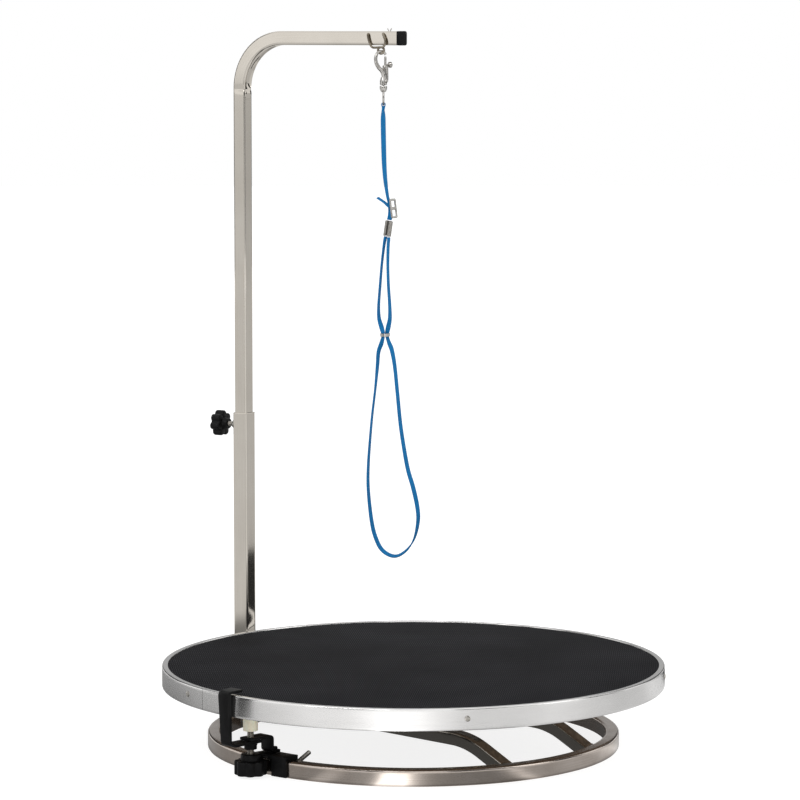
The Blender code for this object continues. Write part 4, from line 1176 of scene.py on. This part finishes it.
def strap(name, routes, twists, width=STRAP_WIDTH, squeeze=None):
    """Flat webbing along smooth routes. At a twist of 0 its width lies along Y."""
    combined = [(*p, t) for p, t in zip(routes[0], twists[0])]
    for route, twist in zip(routes[1:], twists[1:]):
        combined += [(*p, t) for p, t in zip(route[1:], twist[1:])]
    places = smooth_curve([p[:3] for p in combined], 12)
    turns = [v.x for v in smooth_curve([(p[3], 0.0, 0.0) for p in combined], 12)]
    centre = even_points(places, 0.0012)
    rings = []
    outline = strap_outline(width, STRAP_THICKNESS)
    travelled = [0.0]
    for a, b in zip(places, places[1:]):
        travelled.append(travelled[-1] + (b - a).length)
    total = travelled[-1]
    index = 0
    for i, point in enumerate(centre):
        reach = total * i / (len(centre) - 1)
        while index < len(travelled) - 2 and travelled[index + 1] < reach:
            index += 1
        share = (reach - travelled[index]) / max(travelled[index + 1] - travelled[index], 1e-9)
        turn = turns[index] + (turns[index + 1] - turns[index]) * min(1.0, max(0.0, share))
        before = centre[max(i - 1, 0)]
        after = centre[min(i + 1, len(centre) - 1)]
        way = (after - before).normalized()
        wide = Vector((0.0, 1.0, 0.0))
        wide = (wide - way * wide.dot(way)).normalized()
        wide = Matrix.Rotation(math.radians(turn), 3, way) @ wide
        through = way.cross(wide)
        narrow = squeeze(reach, total) if squeeze else 1.0
        rings.append([point + wide * a * narrow + through * b / max(narrow, 0.6) for a, b in outline])
    obj = surface(name, rings, WEBBING, place=NOOSE, sharp=60.0)
    return obj, [NOOSE @ p for p in centre]


def pinched(reach, total):
    """The lead is gathered where it goes through the swivel's ring."""
    return 1.0 - 0.38 * math.exp(-((reach / 0.006) ** 2))


def bunched(reach, total):
    """The loop's two ends are gathered in the crimp, and its strands in the keeper."""
    ends = min(reach, total - reach)
    keeper = min(abs(reach - KEEPER_REACH), abs(total - KEEPER_REACH - reach))
    return 1.0 - 0.30 * math.exp(-((ends / 0.010) ** 2)) - 0.30 * math.exp(-((keeper / 0.008) ** 2))


def ring_wrap():
    """The end of the lead, folded round the bottom of the swivel's ring."""
    outline = strap_outline(STRAP_WIDTH * 0.8, 0.0013)
    ring_z = PIVOT.z - 0.0612
    inner = 0.0012 + 0.0009
    path = [(-0.0008, ring_z - 0.0062), (-0.0014, ring_z - 0.0030)]
    for k in range(13):
        a = math.radians(200.0 - 220.0 * k / 12)
        path.append((inner * math.cos(a), ring_z + inner * math.sin(a)))
    path += [(0.0014, ring_z - 0.0030), (0.0008, ring_z - 0.0062)]
    centre = [Vector((x, 0.0, z)) for x, z in path]
    wide = Vector((0.0, 1.0, 0.0))
    rings = []
    for i, point in enumerate(centre):
        way = (centre[min(i + 1, len(centre) - 1)] - centre[max(i - 1, 0)]).normalized()
        through = way.cross(wide)
        rings.append([point + wide * a + through * b for a, b in outline])
    place = place_at(SWIVEL_AXIS.x, SWIVEL_AXIS.y, 0.0, 0.0)
    wrap = surface("noose_wrap", rings, WEBBING, place=place, sharp=60.0)
    return stands_for(wrap, "noose", "blue_webbing")


def noose():
    wrap = ring_wrap()
    slide, crimp, keeper = noose_fittings()
    lead, lead_path = strap("noose_lead_webbing", [LEAD_ROUTE], [LEAD_TWIST], squeeze=pinched)
    stands_for(lead, "noose", "blue_webbing", "noose_lead")
    tail, _ = strap("noose_tail_webbing", [TAIL_ROUTE], [TAIL_TWIST], width=0.0050)
    stands_for(tail, "noose", "blue_webbing", "noose_tail")
    loop, loop_path = strap(
        "noose_loop_webbing",
        [LEFT_STRAND, LOOP, RIGHT_STRAND],
        [LEFT_TWIST, LOOP_TWIST, RIGHT_TWIST],
        squeeze=bunched,
    )
    stands_for(loop, "noose", "blue_webbing", "noose_loop")


def plate_with_slots(name, width, height, thickness, slots, corner, material):
    """A flat stamped plate in the Y-Z plane, with rounded corners and rounded edges to its slots."""
    outline = rounded(width, height, corner)
    rings = [[(x, a, b) for a, b in outline] for x in (-thickness / 2, thickness / 2)]
    plate = surface(name, rings, material)
    tools = []
    for low, high, slot_width in slots:
        outline = rounded(slot_width, high - low, 0.0008, 3)
        middle = (low + high) / 2
        rings = [[(x, a, middle + b) for a, b in outline] for x in (-0.01, 0.01)]
        tools.append(surface("tool", rings, material))
    combine(plate, tools, "DIFFERENCE")
    round_edges(plate, 0.0004, 3, 50.0, 40.0)
    return plate


def noose_fittings():
    """The three-bar slide, the folded tin crimp and the keeper."""
    slots = [(-0.0092, -0.0018, 0.0084), (0.0018, 0.0092, 0.0084)]
    slide = plate_with_slots("slide_plate", 0.0130, 0.0240, 0.0016, slots, 0.0022, CHROME)
    slide.data.transform(NOOSE @ place_at(0.0141, 0.0, 0.6365, 0.0, 172.5))
    stands_for(slide, "noose", "chrome", "noose_slide")
    crimp = crimp_piece()
    outer = rounded(0.0092, 0.0122, 0.0030, 7)
    inner = rounded(0.0078, 0.0108, 0.0024, 7)
    lip = [(x * 1.04, y * 1.04) for x, y in inner]
    lines = ((inner, -0.0017), (inner, 0.0017), (lip, 0.0021), (outer, 0.0018))
    lines += ((outer, -0.0018), (lip, -0.0021))
    rings = [[(x, y, z) for x, y in line] for line, z in lines]
    keeper = surface("keeper_band", rings, CHROME, closed=True, place=NOOSE @ place_at(0.0022, 0.0, 0.4823))
    stands_for(keeper, "noose", "chrome", "noose_keeper")
    return slide, crimp, keeper


def crimp_piece():
    """Sheet metal folded round the two strands, its edges not quite meeting in front."""
    half_x = 0.0046
    half_y = 0.0029
    gap = 0.0011
    line = [(gap, -half_y + 0.0003)]
    line += [p for p in rounded(2 * half_x, 2 * half_y, 0.0019, 6) if abs(p[0]) >= gap]
    line.sort(key=lambda p: (math.atan2(p[1], p[0]) + math.pi / 2 + 1e-4) % math.tau)
    path = [(gap, -half_y), *line, (-gap, -half_y)]
    wall = 0.0007
    rings = []
    for z in (-0.0093, -0.0091, 0.0091, 0.0093):
        inset = 0.0002 if abs(z) > 0.0092 else 0.0
        outer_line = [(x * (1 - inset / half_x), y * (1 - inset / half_y)) for x, y in path]
        inner_line = [(x * (1 - wall / half_x), y * (1 - wall / half_y)) for x, y in path]
        rings.append([(x, y, z) for x, y in outer_line + inner_line[::-1]])
    place = NOOSE @ place_at(0.0066, 0.0, 0.6119, 0.0, 9.3)
    crimp = surface("crimp_sleeve", rings, CRIMP, place=place, sharp=30.0)
    return stands_for(crimp, "noose", "chrome", "noose_crimp")


# Stage

CAMERA_AT = (-0.016, -4.210, 0.855)
CAMERA_DIP = 5.97
CAMERA_LENS = 160.5
FLOOR_SIZE = 30.0


def paper(name, colour, glow, gloss=0.5):
    look = Look(name, 0.9, 0.0, Emission_Strength=glow, Specular_IOR_Level=gloss)
    look.colour((*colour, 1.0))
    look.shader.inputs["Emission Color"].default_value = (1.0, 1.0, 1.0, 1.0)
    return look.material


def glowing(name, shade):
    """A card that shows as one even tone, whatever light falls on it."""
    return paper(name + "_paper", (0.0, 0.0, 0.0), shade, 0.0)


def flat_piece(name, corners, material):
    shape = bmesh.new()
    shape.faces.new([shape.verts.new(corner) for corner in corners])
    return piece(name, shape, material)


def floor():
    half = FLOOR_SIZE / 2
    corners = [(-half, -half, 0.0), (half, -half, 0.0), (half, half, 0.0), (-half, half, 0.0)]
    flat_piece("floor", corners, paper("floor_paper", (0.32, 0.32, 0.32), 0.84))


def only_reflected(obj):
    """A card that darkens or brightens what the metal mirrors, and nothing else."""
    obj.visible_camera = False
    obj.visible_diffuse = False
    obj.visible_shadow = False
    obj.visible_transmission = False


def card(name, angle, distance, width, low, high, shade):
    """A standing glowing card, seen only in reflections, that paints its tone into the metal as a painted
    reflection. Angle 0 is at the camera, 90 at its right.
    """
    turn = math.radians(angle)
    centre = Vector((math.sin(turn), -math.cos(turn), 0.0)) * distance
    side = Vector((math.cos(turn), math.sin(turn), 0.0)) * width / 2
    ends = ((centre - side, low), (centre + side, low), (centre + side, high), (centre - side, high))
    only_reflected(flat_piece(name, [(p.x, p.y, z) for p, z in ends], glowing(name, shade)))


# (bearing, brightness) of the painted reflections that the ring, the edging and the post mirror from the
# floor round the table; over 1 is a painted highlight. Bearing 0 is towards the camera, 90 to its right.
RING_SHADES = [
    (-180, 0.40), (-100, 0.36), (-75, 0.33), (-40, 0.34), (-31, 0.32), (-28.5, 0.60), (-25.5, 0.62),
    (-21.7, 0.36), (-16.8, 0.40), (-13.7, 0.45), (-11.5, 0.80), (-9.5, 2.4), (-2.8, 2.4), (-0.6, 1.2),
    (1.8, 0.66), (4.9, 0.40), (8, 0.32), (11, 0.28), (19, 0.235), (26, 0.225), (30, 0.34),
    (34.3, 0.95), (38, 0.50), (44, 0.42), (52, 0.48), (68, 0.53), (75, 0.70), (82, 0.95),
    (90, 0.60), (115, 0.40), (180, 0.40),
]
RIM_SHADES = [
    (-180, 0.40), (-119, 0.20), (-105, 0.18), (-94, 0.20), (-85.5, 0.28), (-72.5, 0.32), (-68.5, 0.0),
    (-63.8, 0.0), (-61.0, 0.42), (-57.4, 0.58), (-51.7, 0.64), (-41.4, 0.79), (-31.8, 0.93), (-22.6, 1.04),
    (-15, 1.35), (-12, 1.5), (2, 1.45), (9, 0.98), (16, 0.76), (31, 0.69), (38, 0.65),
    (46, 0.75), (55, 0.74), (64, 0.67), (74, 0.66), (86, 0.60), (100, 0.60), (112, 0.82),
    (180, 0.50),
]
FAR_SHADES = [
    (-180, 0.80), (-125, 0.78), (-62, 0.78), (-45, 0.95), (60, 0.95), (95, 0.66), (140, 0.66), (180, 0.80),
]
STRONGEST = 2.4
RING_ZONE = 0.245
RIM_ZONE = 0.42
FAR_ZONE = 0.84
SHADE_REACH = 7.0


def dim_floor():
    """A glowing disc on the floor that only the metal mirrors: painted reflections, with painted shade under
    the table and painted tones and highlights by bearing round it.
    """
    look = Look("dim_floor_paper", 0.9, Specular_IOR_Level=0.0)
    look.colour((0.0, 0.0, 0.0, 1.0))
    look.shader.inputs["Emission Color"].default_value = (1.0, 1.0, 1.0, 1.0)
    x, y, _ = look.split(look.place("Object"))
    away = look.sum("SQRT", look.sum("ADD", look.sum("MULTIPLY", x, x), look.sum("MULTIPLY", y, y)))
    bearing = look.span(look.sum("ARCTAN2", x, look.sum("MULTIPLY", y, -1.0)), -math.pi, math.pi)
    zones = []
    for shades in (RING_SHADES, RIM_SHADES, FAR_SHADES):
        stops = [((angle + 180.0) / 360.0, shade / STRONGEST) for angle, shade in shades]
        zones.append(look.ramp(bearing, stops))
    outer = look.blend(look.span(away, FAR_ZONE - 0.05, FAR_ZONE + 0.05), zones[1], zones[2])
    outer = look.blend(look.span(away, RIM_ZONE - 0.03, RIM_ZONE + 0.03), zones[0], outer)
    # Painted shade: under the table the disc glows only faintly.
    under = look.blend(look.span(away, RING_ZONE - 0.01, RING_ZONE + 0.01), (0.03, 0.027, 0.025), outer)
    look.put(look.sum("MULTIPLY", look.split(under)[0], STRONGEST), look.shader.inputs["Emission Strength"])
    shape = bmesh.new()
    bmesh.ops.create_circle(shape, cap_ends=True, segments=96, radius=SHADE_REACH)
    bmesh.ops.translate(shape, verts=shape.verts, vec=(0.0, 0.0, 0.0008))
    only_reflected(piece("dim_floor", shape, look.material))


def post_flag():
    """A faintly glowing dark patch on the floor, seen only in reflections: a painted dark reflection low in
    the post's right side.
    """
    ray = Vector((0.910, 0.414))
    side = Vector((-0.414, 0.910))
    corners = []
    for reach, offset in ((0.55, -0.10), (1.30, -0.16), (1.42, 0.10), (0.55, 0.10)):
        spot = Vector((POST_X, POST_Y)) + ray * reach + side * offset
        corners.append((spot.x, spot.y, 0.0016))
    only_reflected(flat_piece("post_flag", corners, glowing("post_flag", 0.03)))


# Painted reflections: glowing cards seen only in the metal. The dark ones paint shade into the chrome, steel
# and edging, far_left_card and far_right_card paint the post's left side lighter than its right,
# rim_band_card paints the dark band on the edging, and far_left_glow paints a brighter reflection high up the
# post and arm.
def cards():
    dim_floor()
    post_flag()
    for side in (-1, 1):
        card(f"side_card_{side + 1}", side * 93.0, 3.0, 1.3, 0.36, 2.6, 0.05)
        card(f"back_card_{side + 1}", side * 147.0, 3.0, 1.9, 0.36, 2.6, 0.05)
    card("left_front_card", -30.0, 3.0, 1.4, 0.36, 2.6, 0.05)
    card("right_front_card", 38.0, 3.0, 2.2, 0.36, 2.6, 0.05)
    card("rim_band_card", -66.8, 0.78, 0.10, 0.0, 0.5, 0.0)
    card("far_card", 180.0, 4.0, 4.0, 0.1, 2.0, 0.42)
    card("far_left_card", -66.0, 7.0, 4.2, 0.0, 0.68, 0.78)
    card("far_right_card", 115.0, 7.0, 4.2, 0.0, 0.68, 0.60)
    card("far_left_glow", -66.0, 7.2, 4.2, 0.70, 2.4, 1.12)


def light(name, size, energy, at, aim):
    data = bpy.data.lights.new(name, "AREA")
    data.shape = "RECTANGLE"
    data.size, data.size_y = size
    data.energy = energy
    obj = bpy.data.objects.new(name, data)
    bpy.context.scene.collection.objects.link(obj)
    obj.location = at
    obj.rotation_euler = (Vector(aim) - Vector(at)).to_track_quat("-Z", "Y").to_euler()


def lights():
    world = bpy.data.worlds.new("studio")
    bpy.context.scene.world = world
    world.use_nodes = True
    background = world.node_tree.nodes["Background"]
    background.inputs["Color"].default_value = (1.0, 1.0, 1.0, 1.0)
    background.inputs["Strength"].default_value = 1.0
    light("key", (2.2, 1.6), 26.0, (-1.6, -2.4, 2.6), (0.0, 0.0, 0.3))
    light("fill", (2.0, 1.2), 8.0, (2.6, -1.4, 1.6), (0.0, 0.0, 0.2))


def camera():
    data = bpy.data.cameras.new("camera")
    data.lens = CAMERA_LENS
    data.sensor_width = 36.0
    data.clip_end = 100.0
    obj = bpy.data.objects.new("camera", data)
    bpy.context.scene.collection.objects.link(obj)
    obj.location = CAMERA_AT
    obj.rotation_euler = (math.radians(90.0 - CAMERA_DIP), 0.0, 0.0)
    bpy.context.scene.camera = obj
    bpy.context.scene.view_settings.view_transform = "Standard"


camera()
noose()
dress_nodes()
rim_trim()
rubber_mat()
rim_screws()
base_ring()
rails()
lock_screw()
lock_tip()
clamp_stud()
post_sleeve()
upper_arm()
knobs()
wire_hanger()
split_pin()
snap_body()
snap_bolt()
swivel()
floor()
cards()
lights()
